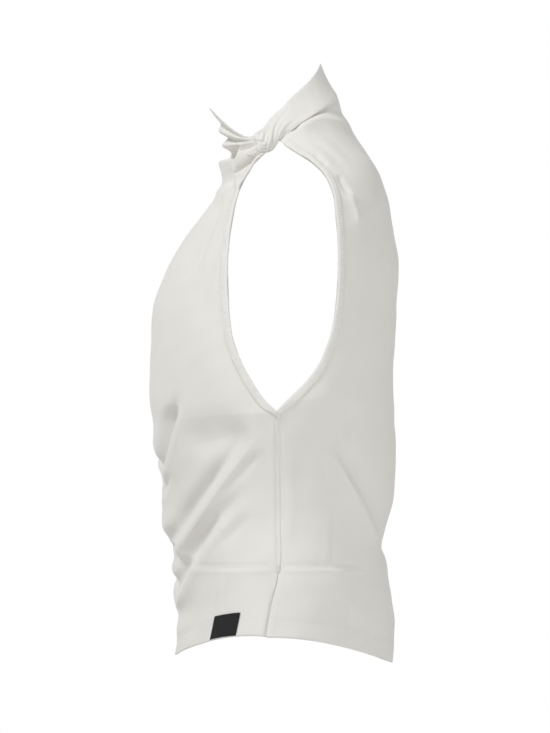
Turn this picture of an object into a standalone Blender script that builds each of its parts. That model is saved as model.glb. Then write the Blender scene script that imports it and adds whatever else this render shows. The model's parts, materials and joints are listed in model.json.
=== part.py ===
"""A sleeveless, high-necked cotton top, held open as if worn, with a rolled twist of cloth on each
shoulder.

Metres. +Z is up, the front faces -Y and the wearer's left is +X. The origin is midway between the two
shoulder twists, at the base of the neck, level with the lowest point of the neckline beside the neck.

Each panel is a stack of rows. A row is one line across the cloth, drawn as a cubic curve from the centre
front or back to the panel's side edge, and mirrored. The tables give the rows that shape the garment, and
smooth curves through their columns give the rows between. Folds are soft ridges and troughs along lines
drawn in the garment's side view, and they push the cloth out or in.
"""

import math
from collections import namedtuple

import bpy
import numpy as np

# ---------------------------------------------------------------- driving sizes
CLOTH = 0.0012  # wall of a single panel
HEM_DEPTH = 0.020  # turned-up hem
HEM_EXTRA = 0.0008  # the turned-up layer, inside the hem
SEAM_GAP = 0.0006  # clearance between pieces that are sewn together
BINDING_WIDTH = 0.0070
BINDING_CLOTH = 0.0010
LABEL_CLOTH = 0.0010
LABEL_HEIGHT = 0.0230
LABEL_SPAN = (0.574, 0.766)  # share of the way from the centre front to the side seam, at the hem
LABEL_LEAN = 0.020  # how much further toward the side seam its upper edge lies
HIDDEN_SHIFT = (0.004, -0.009)  # how far the folds on the wearer's right lie from the left ones, in y and z
HIDDEN_BLEND = 0.04  # distance from the centre line over which that shift comes in
DIP_BESIDE = 1.9  # how far a fold's trough lies from its crest, in left half-widths
FOLD_PIECES = 24  # straight pieces that a fold's line is measured along

FRONT_COLUMNS = 10  # grid columns from the centre of a panel to its edge
BACK_COLUMNS = 8
CROWDING = 1.2  # how much closer together the columns lie toward the edge, as the angle of a sine
BAND_AROUND = 20  # points round the neckband's section
LOBES = 6  # rolled folds round a twist
FLAT_BAND = 0.0018  # the neckband's section is flat up to this half thickness, and round from the next
ROUND_BAND = 0.0048
MITRE = 0.006  # how far from the underarm the armhole binding is mitred
LABEL_LIFT = 0.0005  # the label's lower edge above the hem
BACK_CORNER = 5.4  # where the back panel's corner lies along the neckband, counted in the neckband's rows
PROBE_UP = 0.001  # steps for a panel's slopes: a length up it at the centre, and a share of its half width
PROBE_ACROSS = 0.006
PROBE_SPREAD = 5  # the step up a panel's side edge, where gathered rows lie close, against the centre's
PROBE_BAND = 0.02  # step for the neckband's direction, as a share of the way between two of its rows

OFF_WHITE = (0.80, 0.79, 0.75)
BLACK = (0.012, 0.012, 0.013)

# ---------------------------------------------------------------- panel rows
# up: cloth length above the hem, along the centre line. steps: grid rows from this row to the next.
# y, z: the centre point. reach: how far the row runs straight across before it curves.
# ex, ey, ez: the side edge on the wearer's left. lx, ly, lz: the row's lead away from that edge.
Row = namedtuple("Row", "name steps up y z reach ex ey ez lx ly lz")

FRONT_ROWS = [
    Row("hem", 2, 0.000, -0.0925, -0.5140, 0.095, 0.1620, 0.0045, -0.4970, 0.000, -0.056, 0.006),
    Row("hem_top", 2, 0.020, -0.0890, -0.4940, 0.093, 0.1586, 0.0060, -0.4770, 0.000, -0.056, 0.006),
    Row("hip", 2, 0.040, -0.0878, -0.4740, 0.092, 0.1560, 0.0075, -0.4580, 0.000, -0.056, 0.004),
    Row("slit_tuck", 2, 0.058, -0.0925, -0.4560, 0.090, 0.1540, 0.0080, -0.4415, 0.000, -0.056, 0.003),
    Row("slit_top", 4, 0.072, -0.0955, -0.4400, 0.088, 0.1540, 0.0086, -0.4280, 0.000, -0.056, 0.003),
    Row("waist", 5, 0.117, -0.1000, -0.3960, 0.084, 0.1480, 0.0094, -0.3870, 0.000, -0.058, 0.000),
    Row("midriff", 4, 0.168, -0.1085, -0.3470, 0.086, 0.1510, 0.0091, -0.3370, 0.000, -0.062, 0.000),
    Row("under_bust", 3, 0.209, -0.1148, -0.3060, 0.090, 0.1590, 0.0088, -0.2990, 0.000, -0.065, -0.002),
    Row("underarm", 2, 0.236, -0.1150, -0.2800, 0.093, 0.1650, 0.0077, -0.2720, 0.000, -0.066, -0.003),
    Row("armhole_foot", 2, 0.250, -0.1175, -0.2660, 0.092, 0.1635, -0.0030, -0.2610, -0.005, -0.058, -0.002),
    Row("bust", 3, 0.271, -0.1180, -0.2450, 0.088, 0.1600, -0.0170, -0.2410, -0.010, -0.050, -0.002),
    Row("bust_top", 3, 0.311, -0.1165, -0.2050, 0.082, 0.1500, -0.0350, -0.2010, -0.020, -0.042, -0.002),
    Row("bust_break", 3, 0.351, -0.1140, -0.1650, 0.075, 0.1380, -0.0400, -0.1610, -0.024, -0.038, -0.002),
    Row("chest", 3, 0.385, -0.1010, -0.1330, 0.068, 0.1270, -0.0410, -0.1260, -0.024, -0.034, -0.003),
    Row("chest_mid", 3, 0.417, -0.0850, -0.1050, 0.060, 0.1150, -0.0380, -0.0920, -0.024, -0.030, -0.006),
    Row("chest_top", 2, 0.445, -0.0698, -0.0820, 0.052, 0.1030, -0.0330, -0.0630, -0.022, -0.025, -0.010),
    Row("strap", 2, 0.464, -0.0590, -0.0660, 0.046, 0.0940, -0.0270, -0.0450, -0.016, -0.019, -0.015),
    Row("strap_mid", 2, 0.477, -0.0528, -0.0570, 0.042, 0.0860, -0.0190, -0.0300, -0.010, -0.018, -0.019),
    Row("strap_top", 2, 0.486, -0.0500, -0.0510, 0.040, 0.0795, -0.0100, -0.0165, -0.003, -0.017, -0.024),
    Row("knot_foot", 2, 0.491, -0.0475, -0.0470, 0.039, 0.0716, -0.0014, -0.0110, 0.007, -0.0246, -0.0190),
    Row("swag_4_foot", 2, 0.495, -0.0462, -0.0430, 0.038, 0.0739, -0.0026, -0.0090, 0.006, -0.0268, -0.0160),
    Row("swag_4", 2, 0.505, -0.0470, -0.0330, 0.036, 0.0752, -0.0039, -0.0068, 0.005, -0.0290, -0.0100),
    Row("swag_4_crest", 2, 0.516, -0.0485, -0.0220, 0.034, 0.0758, -0.0054, -0.0044, 0.002, -0.0232, -0.0091),
    Row("hollow_3", 2, 0.526, -0.0380, -0.0185, 0.030, 0.0759, -0.0064, -0.0026, -0.004, -0.0141, -0.0088),
    Row("swag_3_foot", 2, 0.533, -0.0395, -0.0110, 0.031, 0.0756, -0.0073, -0.0011, -0.004, -0.0155, -0.0068),
    Row("swag_3", 2, 0.542, -0.0455, -0.0050, 0.033, 0.0753, -0.0082, 0.0003, -0.004, -0.0159, -0.0063),
    Row("hollow_2", 2, 0.550, -0.0395, 0.0015, 0.031, 0.0749, -0.0089, 0.0015, -0.004, -0.0159, -0.0062),
    Row("swag_2", 2, 0.562, -0.0490, 0.0095, 0.035, 0.0743, -0.0096, 0.0027, -0.004, -0.0159, -0.0071),
    Row("hollow_1", 2, 0.569, -0.0465, 0.0155, 0.035, 0.0737, -0.0102, 0.0037, -0.004, -0.0154, -0.0088),
    Row("swag_1", 2, 0.578, -0.0520, 0.0225, 0.037, 0.0727, -0.0108, 0.0046, -0.004, -0.0150, -0.0104),
    Row("neckline", 0, 0.589, -0.0580, 0.0320, 0.038, 0.0712, -0.0113, 0.0055, -0.004, -0.0147, -0.0120),
]

BACK_ROWS = [
    Row("hem", 2, 0.000, 0.1240, -0.5220, 0.095, 0.1660, -0.0015, -0.4970, 0.000, 0.064, 0.000),
    Row("hem_top", 2, 0.020, 0.1255, -0.5020, 0.093, 0.1625, 0.0018, -0.4770, 0.000, 0.063, 0.000),
    Row("hip", 2, 0.042, 0.1265, -0.4800, 0.092, 0.1593, 0.0055, -0.4580, 0.000, 0.061, 0.000),
    Row("slit_tuck", 2, 0.0635, 0.1232, -0.4590, 0.090, 0.1562, 0.0098, -0.4415, 0.000, 0.060, 0.000),
    Row("slit_top", 4, 0.083, 0.1200, -0.4400, 0.088, 0.1540, 0.0108, -0.4280, 0.000, 0.060, 0.000),
    Row("waist", 5, 0.125, 0.1200, -0.3980, 0.084, 0.1480, 0.0106, -0.3870, 0.000, 0.060, 0.000),
    Row("midriff", 4, 0.179, 0.1260, -0.3450, 0.086, 0.1510, 0.0099, -0.3370, 0.000, 0.064, 0.000),
    Row("under_bust", 3, 0.218, 0.1275, -0.3060, 0.090, 0.1590, 0.0094, -0.2990, 0.000, 0.064, 0.000),
    Row("underarm", 2, 0.244, 0.1260, -0.2800, 0.093, 0.1650, 0.0085, -0.2720, 0.000, 0.064, 0.000),
    Row("armhole_foot", 2, 0.256, 0.1255, -0.2680, 0.092, 0.1640, 0.0190, -0.2610, -0.004, 0.058, 0.000),
    Row("shoulder_blade_low", 3, 0.278, 0.1245, -0.2460, 0.088, 0.1570, 0.0400, -0.2400, -0.010, 0.046, 0.000),
    Row("shoulder_blade", 3, 0.319, 0.1265, -0.2050, 0.082, 0.1460, 0.0610, -0.2020, -0.018, 0.036, 0.000),
    Row("back_mid", 3, 0.359, 0.1280, -0.1650, 0.075, 0.1370, 0.0690, -0.1600, -0.022, 0.034, 0.000),
    Row("back_peak", 3, 0.396, 0.1305, -0.1280, 0.070, 0.1300, 0.0710, -0.1200, -0.024, 0.034, 0.000),
    Row("back_upper", 3, 0.433, 0.1250, -0.0920, 0.064, 0.1220, 0.0690, -0.0800, -0.026, 0.032, 0.002),
    Row("shoulder_low", 2, 0.467, 0.1190, -0.0580, 0.058, 0.1120, 0.0650, -0.0520, -0.026, 0.030, 0.004),
    Row("shoulder", 3, 0.491, 0.1115, -0.0350, 0.052, 0.1030, 0.0580, -0.0360, -0.026, 0.028, 0.006),
    Row("shoulder_top", 3, 0.517, 0.0980, -0.0130, 0.046, 0.0930, 0.0450, -0.0230, -0.024, 0.024, 0.010),
    Row("nape_low", 3, 0.543, 0.0835, 0.0080, 0.040, 0.0820, 0.0290, -0.0125, -0.018, 0.020, 0.012),
    Row("nape", 3, 0.565, 0.0740, 0.0270, 0.036, 0.0740, 0.0190, -0.0065, -0.010, 0.018, 0.012),
    Row("neckband_seam", 0, 0.583, 0.0680, 0.0430, 0.032, 0.0690, 0.0130, -0.0010, -0.004, 0.016, 0.012),
]

# ---------------------------------------------------------------- folds
# A fold starts at (y0, z0), bends past (y1, z1) and ends at (y2, z2) in the side view. rise: the height of
# its ridge, below zero for a trough. dip: depth of a trough along its left side. left, right: its
# half-widths, as seen from the wearer's left when travelling along it. fade: the share of its length over which
# each end dies out.
Fold = namedtuple("Fold", "name y0 z0 y1 z1 y2 z2 rise dip left right start_fade end_fade")

FRONT_FOLDS = [
    Fold("bust_drag", -0.100, -0.405, -0.094, -0.330, -0.080, -0.258, 0.0030, 0.0055, 0.008, 0.016, 0, 0.35),
    Fold("waist_drag", -0.107, -0.472, -0.0545, -0.352, -0.016, -0.284, 0.0026, 0.0064, 0.010, 0.018, 0, 0.45),
    Fold("hip_drag", -0.100, -0.500, -0.060, -0.415, -0.007, -0.342, 0.0020, 0.0060, 0.008, 0.016, 0, 0.45),
    Fold("bust_shadow", -0.090, -0.283, -0.060, -0.266, -0.018, -0.276, -0.0018, 0, 0.014, 0.018, 0.5, 0.3),
    Fold("chest_drag", -0.114, -0.158, -0.0705, -0.0835, -0.040, -0.045, 0.002, 0.001, 0.007, 0.012, 0.3, 0.2),
    Fold("chest_hollow", -0.083, -0.152, -0.067, -0.103, -0.046, -0.060, -0.0022, 0, 0.008, 0.008, 0.3, 0.2),
    Fold("strap_ridge", -0.027, -0.056, -0.036, -0.024, -0.024, -0.006, 0.0018, 0.002, 0.005, 0.008, 0.3, 0.5),
]

BACK_FOLDS = [
    Fold("waist_notch", 0.122, -0.414, 0.0835, -0.3375, 0.051, -0.297, -0.0062, 0.0, 0.010, 0.012, 0.0, 0.6),
    Fold("waist_ridge", 0.106, -0.418, 0.0715, -0.3475, 0.043, -0.306, 0.0018, 0.0, 0.010, 0.008, 0.2, 0.6),
    Fold("side_drag", 0.084, -0.255, 0.078, -0.280, 0.069, -0.305, -0.0015, 0.0, 0.008, 0.008, 0.4, 0.4),
    Fold("nape_swag", 0.024, 0.010, 0.054, 0.032, 0.088, 0.008, 0.0022, 0.0016, 0.005, 0.010, 0.3, 0.0),
]

# ---------------------------------------------------------------- neckband
# The left half, from the centre back to the front end of the twist. x, y, z: the middle of the band. wx,
# wy, wz: from there to its upper edge. thick: half its thickness. lobes: depth of the grooves between the
# rolled folds, as a share. turn: how far the roll has turned, in degrees. steps: sections to the next row.
BandRow = namedtuple("BandRow", "name steps x y z wx wy wz thick lobes turn")
BandFrame = namedtuple("BandFrame", "middle run up out values")

BAND_ROWS = [
    BandRow("centre_back", 3, 0.0000, 0.0605, 0.0600, 0.0000, -0.0085, 0.0155, 0.0014, 0.00, 0),
    BandRow("back", 3, 0.0260, 0.0550, 0.0540, -0.0015, -0.0090, 0.0150, 0.0014, 0.00, 0),
    BandRow("back_side", 3, 0.0430, 0.0450, 0.0440, -0.0030, -0.0090, 0.0130, 0.0016, 0.00, 0),
    BandRow("side", 3, 0.0550, 0.0325, 0.0325, -0.0040, -0.0085, 0.0110, 0.0022, 0.04, 0),
    BandRow("gather", 4, 0.0615, 0.0205, 0.0220, -0.0045, -0.0080, 0.0095, 0.0036, 0.12, 8),
    BandRow("twist_back", 4, 0.0650, 0.0085, 0.0120, -0.0035, -0.0070, 0.0082, 0.0054, 0.20, 36),
    BandRow("twist", 4, 0.0675, 0.0010, 0.0025, -0.0020, -0.0074, 0.0088, 0.0066, 0.22, 66),
    BandRow("twist_front", 3, 0.0688, -0.0028, -0.0008, -0.0010, -0.0066, 0.0096, 0.0070, 0.18, 84),
    BandRow("twist_lip", 0, 0.0697, -0.0058, -0.0025, -0.0005, -0.0058, 0.0096, 0.0070, 0.10, 96),
]
# The front end of a twist is a rounded lip round a shallow dish, against the gathered strap: depth into the
# roll, and share of its width.
DISH = [(-0.0003, 0.96), (0.0000, 0.90), (0.0008, 0.60)]


def smooth_through(knots, values, at, corner=None):
    """A smooth curve through values at knots: cubic pieces whose slope at a knot is that of the parabola
    through it and its two neighbours. At the knot numbered corner the curve may turn sharply."""
    knots, values, at = (np.asarray(part, float) for part in (knots, values, at))
    if corner is not None:
        low = smooth_through(knots[: corner + 1], values[: corner + 1], at)
        high = smooth_through(knots[corner:], values[corner:], at)
        return np.where(at <= knots[corner], low, high)
    gap = np.diff(knots)
    step = np.diff(values) / gap
    slope = np.empty_like(values)
    slope[0], slope[-1] = step[0], step[-1]
    slope[1:-1] = (gap[1:] * step[:-1] + gap[:-1] * step[1:]) / (gap[1:] + gap[:-1])
    i = np.clip(np.searchsorted(knots, at, side="right") - 1, 0, len(gap) - 1)
    t = np.clip((at - knots[i]) / gap[i], 0, 1)
    bend = gap[i] * (t * (1 - t) ** 2 * slope[i] - t * t * (1 - t) * slope[i + 1])
    return values[i] + t * t * (3 - 2 * t) * (values[i + 1] - values[i]) + bend


def ease(t):
    """0 to 1, level at both ends."""
    t = np.clip(t, 0, 1)
    return t * t * (3 - 2 * t)


def unit(vectors):
    return vectors / np.linalg.norm(vectors, axis=-1, keepdims=True)


def column(rows, field):
    return [getattr(row, field) for row in rows]


def knots_between(knots, steps):
    """The knots, and steps - 1 more spaced evenly between each pair."""
    parts = [np.linspace(a, b, n, endpoint=False) for a, b, n in zip(knots, knots[1:], steps)]
    return np.append(np.concatenate(parts), knots[-1])


def fold_height(fold, y, z):
    """How far a fold pushes the cloth at side-view points: a bell across its line, with a trough beside it."""
    t = np.linspace(0, 1, FOLD_PIECES + 1)[:, None]
    ends = np.array([[fold.y0, fold.z0], [fold.y1, fold.z1], [fold.y2, fold.z2]])
    line = ends[0] * (1 - t) ** 2 + 2 * ends[1] * t * (1 - t) + ends[2] * t * t
    start, run = line[:-1], np.diff(line, axis=0)
    offset = np.stack([y, z], axis=-1)[..., None, :] - start
    share = np.clip((offset * run).sum(-1) / (run * run).sum(-1), 0, 1)
    distance = np.linalg.norm(offset - share[..., None] * run, axis=-1)
    turn = run[:, 0] * offset[..., 1] - run[:, 1] * offset[..., 0]
    nearest = distance.argmin(-1)[..., None]
    distance, share, turn = (np.take_along_axis(part, nearest, -1)[..., 0] for part in (distance, share, turn))
    along = (nearest[..., 0] + share) / len(run)
    width = np.where(turn > 0, fold.left, fold.right)
    beside = np.where(turn > 0, distance, -distance) - DIP_BESIDE * fold.left
    height = fold.rise * np.exp(-((distance / width) ** 2)) - fold.dip * np.exp(-((beside / fold.left) ** 2))
    if fold.start_fade:
        height = height * ease(along / fold.start_fade)
    if fold.end_fade:
        height = height * ease((1 - along) / fold.end_fade)
    return height


class Panel:
    """A panel's surface. up is the length above the hem. across is 0 at the centre and 1 at the wearer's
    left edge."""

    def __init__(self, rows, folds, outward, seam=None):
        self.rows, self.folds, self.outward = rows, folds, outward
        self.knots = column(rows, "up")
        self.corner = column(rows, "name").index("underarm")
        self.seam = seam  # a line from the centre back to the side edge, which the last row is drawn to

    def knot(self, name):
        return self.knots[column(self.rows, "name").index(name)]

    def value(self, field, up, sharp=None):
        return smooth_through(self.knots, column(self.rows, field), up, sharp)

    def row_point(self, up, across):
        """A row as a cubic Bezier curve from its centre to its side edge."""
        t = np.abs(across)[..., None]
        zero = np.zeros_like(up)
        centre = np.stack([zero, self.value("y", up), self.value("z", up)], axis=-1)
        edge = np.stack([self.value(field, up, self.corner) for field in ("ex", "ey", "ez")], axis=-1)
        lead = np.stack([self.value(field, up, self.corner) for field in ("lx", "ly", "lz")], axis=-1)
        reach = np.stack([self.value("reach", up), zero, zero], axis=-1)
        inner = centre * (1 - t) ** 3 + 3 * (centre + reach) * t * (1 - t) ** 2
        return inner + 3 * (edge + lead) * t * t * (1 - t) + edge * t**3

    def seam_shift(self, across):
        """How far the last row moves to meet its seam, at matching shares of the two lengths."""
        t = np.linspace(0, 1, 60)
        row = self.row_point(np.full_like(t, self.knots[-1]), t)
        row_length = lengths(row)
        share = np.interp(np.abs(across), t, row_length / row_length[-1])
        seam_length = lengths(self.seam)
        shifts = [
            np.interp(share * seam_length[-1], seam_length, self.seam[:, axis])
            - np.interp(np.abs(across), t, row[:, axis])
            for axis in range(3)
        ]
        return np.stack(shifts, axis=-1)

    def base_point(self, up, across):
        up, across = np.broadcast_arrays(np.clip(up, 0, self.knots[-1]), np.clip(across, -1, 1))
        point = self.row_point(up, across)
        if self.seam is not None:
            top, start = self.knots[-1], self.knot("shoulder")
            point = point + self.seam_shift(across) * ease((up - start) / (top - start))[..., None]
        return point * np.stack([np.sign(across), np.ones_like(up), np.ones_like(up)], axis=-1)

    def point(self, up, across):
        """The middle of the cloth, with its folds. Those on the wearer's right lie a little apart."""
        base = self.base_point(up, across)
        hidden = ease(-base[..., 0] / HIDDEN_BLEND)
        y, z = base[..., 1] + HIDDEN_SHIFT[0] * hidden, base[..., 2] + HIDDEN_SHIFT[1] * hidden
        height = sum(fold_height(fold, y, z) for fold in self.folds)
        return base + self.normal(up, across, self.base_point) * height[..., None]

    def normal(self, up, across, surface=None):
        surface = surface or self.point
        up, across = np.clip(up, 0, self.knots[-1]), np.clip(across, -1, 1)
        probe = PROBE_UP * (1 + (PROBE_SPREAD - 1) * across * across)
        lower, upper = np.maximum(up - probe, 0), np.minimum(up + probe, self.knots[-1])
        right, left = np.maximum(across - PROBE_ACROSS, -1), np.minimum(across + PROBE_ACROSS, 1)
        along_row = surface(up, left) - surface(up, right)
        along_column = surface(upper, across) - surface(lower, across)
        return unit(np.cross(along_row, along_column)) * self.outward

    def face(self, up, across, offset):
        """Points that lie offset outside the middle of the cloth."""
        return self.point(up, across) + self.normal(up, across) * offset


def lengths(points):
    """The length along a line of points, up to each."""
    return np.concatenate([[0], np.cumsum(np.linalg.norm(np.diff(points, axis=0), axis=1))])


# ---------------------------------------------------------------- neckband
def band_values(at):
    """The neckband's columns at places along it, from minus the last row, at the wearer's right, to the
    last row."""
    last = len(BAND_ROWS) - 1
    knots = np.arange(-last, last + 1)
    values = {}
    for field in BandRow._fields[2:]:
        half = column(BAND_ROWS, field)
        sign = -1 if field in ("x", "wx", "turn") else 1
        values[field] = smooth_through(knots, [sign * value for value in half[:0:-1]] + half, at)
    return values


def band_frame(at):
    """The middle of the band, the way along it, its upward and outward directions, and its columns' values."""
    values = band_values(at)
    middle = np.stack([values[field] for field in ("x", "y", "z")], axis=-1)
    after, before = band_values(at + PROBE_BAND), band_values(at - PROBE_BAND)
    run = unit(np.stack([after[field] - before[field] for field in ("x", "y", "z")], axis=-1))
    width = np.stack([values[field] for field in ("wx", "wy", "wz")], axis=-1)
    up = unit(width)
    return BandFrame(middle, run, up, unit(np.cross(up, run)), values)


def band_rings(at, around):
    """Rings round the neckband: a flat doubled band that becomes a lobed roll."""
    band = band_frame(at)
    angle = np.linspace(0, 2 * math.pi, around, endpoint=False)[None, :]
    half = np.sqrt(sum(band.values[field] ** 2 for field in ("wx", "wy", "wz")))[:, None]
    thick = band.values["thick"][:, None]
    flat = 1 - ease((thick - FLAT_BAND) / (ROUND_BAND - FLAT_BAND))
    wave = np.abs(np.sin(LOBES / 2 * (angle - np.radians(band.values["turn"])[:, None])))
    groove = 1 - band.values["lobes"][:, None] * (1 - wave)
    along_up = np.cos(angle) * half * groove
    along_out = np.sign(np.sin(angle)) * np.abs(np.sin(angle)) ** (1 - 0.6 * flat) * thick * groove
    upward, outward = along_up[..., None] * band.up[:, None], along_out[..., None] * band.out[:, None]
    return band.middle[:, None] + upward + outward


def band_seam(gap):
    """A line below the neckband's lower edge, from the centre back to the back panel's corner at the twist.
    The gap, doubled at the corner, clears the swell of the roll."""
    at = np.linspace(0, BACK_CORNER, 50)
    lower_edge = band_rings(at, 2)[:, 1]
    return lower_edge - band_frame(at).up * gap * (1 + at / BACK_CORNER)[:, None]


# ---------------------------------------------------------------- solids
def material(name, colour, roughness):
    """A plain material of its own colour and roughness."""
    made = bpy.data.materials.new(name)
    made.use_nodes = True
    shader = made.node_tree.nodes["Principled BSDF"]
    shader.inputs["Base Color"].default_value = (*colour, 1.0)
    shader.inputs["Roughness"].default_value = roughness
    shader.inputs["Metallic"].default_value = 0.0
    return made


def new_object(name, points, faces, finish):
    """A named object with the points and faces given, shaded smooth."""
    mesh = bpy.data.meshes.new(name)
    mesh.from_pydata([tuple(point) for point in points], [], faces)
    mesh.materials.append(finish)
    mesh.shade_smooth()
    made = bpy.data.objects.new(name, mesh)
    bpy.context.scene.collection.objects.link(made)
    return made


def wall(name, outer, inner, finish, outward):
    """A closed wall between two grids of points, joined round their four edges. Both faces of the wall are
    split along the shorter diagonals of its outer grid."""
    rows, columns = outer.shape[:2]
    back = rows * columns

    def at(row, col):
        return row * columns + col

    rising = np.linalg.norm(outer[1:, 1:] - outer[:-1, :-1], axis=-1)
    falling = np.linalg.norm(outer[1:, :-1] - outer[:-1, 1:], axis=-1)
    faces = []
    for row in range(rows - 1):
        for col in range(columns - 1):
            a, b, c, d = at(row, col), at(row, col + 1), at(row + 1, col + 1), at(row + 1, col)
            halves = ((a, b, c), (a, c, d))
            if rising[row, col] >= falling[row, col]:
                halves = ((a, b, d), (b, c, d))
            for face in halves:
                faces.append(face)
                faces.append(tuple(back + corner for corner in reversed(face)))
    rim = [at(0, col) for col in range(columns)]
    rim += [at(row, columns - 1) for row in range(1, rows)]
    rim += [at(rows - 1, col) for col in range(columns - 2, -1, -1)]
    rim += [at(row, 0) for row in range(rows - 2, 0, -1)]
    for here, there in zip(rim, rim[1:] + rim[:1]):
        faces.append((there, here, back + here, back + there))
    if outward < 0:
        faces = [tuple(reversed(face)) for face in faces]
    return new_object(name, np.concatenate([outer.reshape(-1, 3), inner.reshape(-1, 3)]), faces, finish)


def panel_solid(name, panel, columns, finish):
    up = knots_between(panel.knots, column(panel.rows, "steps"))[:, None]
    across = (np.sin(np.linspace(-CROWDING, CROWDING, 2 * columns + 1)) / math.sin(CROWDING))[None, :]
    turned_up = np.where(up < HEM_DEPTH + PROBE_UP, HEM_EXTRA, 0.0)[..., None]
    outer = panel.face(up, across, CLOTH / 2)
    inner = panel.face(up, across, -CLOTH / 2 - turned_up)
    return wall(name, outer, inner, finish, panel.outward)


def neckband_solid(name, finish):
    last = len(BAND_ROWS) - 1
    steps = column(BAND_ROWS, "steps")[:-1]
    at = knots_between(np.arange(-last, last + 1), steps[::-1] + steps)
    rings = band_rings(at, BAND_AROUND)
    middle, run = band_frame(at)[:2]
    start = [middle[0] + run[0] * deep + (rings[0] - middle[0]) * share for deep, share in reversed(DISH)]
    end = [middle[-1] - run[-1] * deep + (rings[-1] - middle[-1]) * share for deep, share in DISH]
    rings = np.concatenate([start, rings, end])
    count = len(rings)
    faces = []
    for row in range(count - 1):
        for col in range(BAND_AROUND):
            after = (col + 1) % BAND_AROUND
            here, there = row * BAND_AROUND, (row + 1) * BAND_AROUND
            faces.append((here + col, there + col, there + after, here + after))
    floor = count * BAND_AROUND
    for col in range(BAND_AROUND):
        after = (col + 1) % BAND_AROUND
        faces.append((floor, col, after))
        faces.append((floor + 1, (count - 1) * BAND_AROUND + after, (count - 1) * BAND_AROUND + col))
    points = np.concatenate([rings.reshape(-1, 3), [rings[0].mean(axis=0), rings[-1].mean(axis=0)]])
    return new_object(name, points, faces, finish)


def edge_strip(panel, up, side):
    """Panel places for a strip along the armhole: from its edge inward, square to it, and mitred at the
    underarm."""
    edge = np.full_like(up, side)
    along = (panel.point(up + PROBE_UP, edge) - panel.point(up - PROBE_UP, edge)) / (2 * PROBE_UP)
    inward = (panel.point(up, edge * (1 - PROBE_ACROSS)) - panel.point(up, edge)) / PROBE_ACROSS
    lean = (inward * along).sum(-1) / (along * along).sum(-1)
    square = inward - lean[:, None] * along
    share = BINDING_WIDTH / np.linalg.norm(square, axis=-1)
    mitre = np.exp(-(((up - panel.knot("underarm")) / MITRE) ** 2))
    inner_up = up - (1 - mitre) * lean * share - mitre * BINDING_WIDTH
    inner_across = side * (1 - (1 - mitre) * share)
    t = np.linspace(0, 1, 3)[None, :]
    return up[:, None] * (1 - t) + inner_up[:, None] * t, edge[:, None] * (1 - t) + inner_across[:, None] * t


def binding_solid(name, front, back, side, finish):
    """A narrow strip on the outside of the armhole's edge, from the twist round the underarm to the
    neckband."""
    offsets = (CLOTH / 2 + SEAM_GAP, CLOTH / 2 + SEAM_GAP + BINDING_CLOTH)
    faces = []
    for panel, top in ((front, "strap_top"), (back, "nape")):
        up = knots_between(panel.knots, column(panel.rows, "steps"))
        up = up[(up > panel.knot("underarm") - PROBE_UP) & (up < panel.knot(top) + PROBE_UP)]
        places = edge_strip(panel, up, side)
        faces.append([panel.face(*places, offset) for offset in offsets])
    (front_inner, front_outer), (back_inner, back_outer) = faces
    inner, outer = (
        np.concatenate([ahead[:0:-1], (ahead[:1] + behind[:1]) / 2, behind[1:]])
        for ahead, behind in ((front_inner, back_inner), (front_outer, back_outer))
    )
    return wall(name, outer, inner, finish, side)


def label_solid(name, front, finish):
    up = np.linspace(LABEL_LIFT, LABEL_HEIGHT, 4)[:, None]
    across = np.linspace(*LABEL_SPAN, 5)[None, :] + LABEL_LEAN * up / LABEL_HEIGHT
    inner = front.face(up, across, CLOTH / 2 + SEAM_GAP)
    outer = front.face(up, across, CLOTH / 2 + SEAM_GAP + LABEL_CLOTH)
    return wall(name, outer, inner, finish, 1)


def clear_scene():
    for old in list(bpy.data.objects):
        bpy.data.objects.remove(old, do_unlink=True)


def main():
    clear_scene()
    jersey = material("off_white_jersey", OFF_WHITE, 0.85)
    front = Panel(FRONT_ROWS, FRONT_FOLDS, 1)
    back = Panel(BACK_ROWS, BACK_FOLDS, -1, band_seam(SEAM_GAP))
    panel_solid("front_panel", front, FRONT_COLUMNS, jersey)
    panel_solid("back_panel", back, BACK_COLUMNS, jersey)
    neckband_solid("neckband", jersey)
    binding_solid("armhole_binding_left", front, back, 1, jersey)
    binding_solid("armhole_binding_right", front, back, -1, jersey)
    label_solid("hem_label", front, material("black_label", BLACK, 0.6))


main()
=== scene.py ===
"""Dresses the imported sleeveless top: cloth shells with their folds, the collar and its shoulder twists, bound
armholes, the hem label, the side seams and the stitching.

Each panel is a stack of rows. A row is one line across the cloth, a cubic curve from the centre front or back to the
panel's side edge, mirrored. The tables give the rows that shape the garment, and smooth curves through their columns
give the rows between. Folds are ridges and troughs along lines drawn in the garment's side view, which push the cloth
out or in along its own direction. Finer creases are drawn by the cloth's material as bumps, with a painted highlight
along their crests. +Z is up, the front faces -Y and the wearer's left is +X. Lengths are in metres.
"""

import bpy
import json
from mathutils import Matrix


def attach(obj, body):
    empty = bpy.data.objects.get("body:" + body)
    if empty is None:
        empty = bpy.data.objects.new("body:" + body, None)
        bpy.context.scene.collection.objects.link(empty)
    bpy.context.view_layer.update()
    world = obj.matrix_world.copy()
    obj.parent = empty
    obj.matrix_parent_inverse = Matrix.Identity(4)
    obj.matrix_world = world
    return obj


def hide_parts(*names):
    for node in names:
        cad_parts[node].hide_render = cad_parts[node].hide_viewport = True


bl_info = {
    "name": "Sleeveless top with twisted shoulders",
    "version": (1, 0, 0),
    "blender": (4, 5, 0),
    "location": "3D View > Sidebar > Top",
    "description": "Cloth, seams and stitching for the packed sleeveless top",
    "category": "Object",
}

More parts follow.
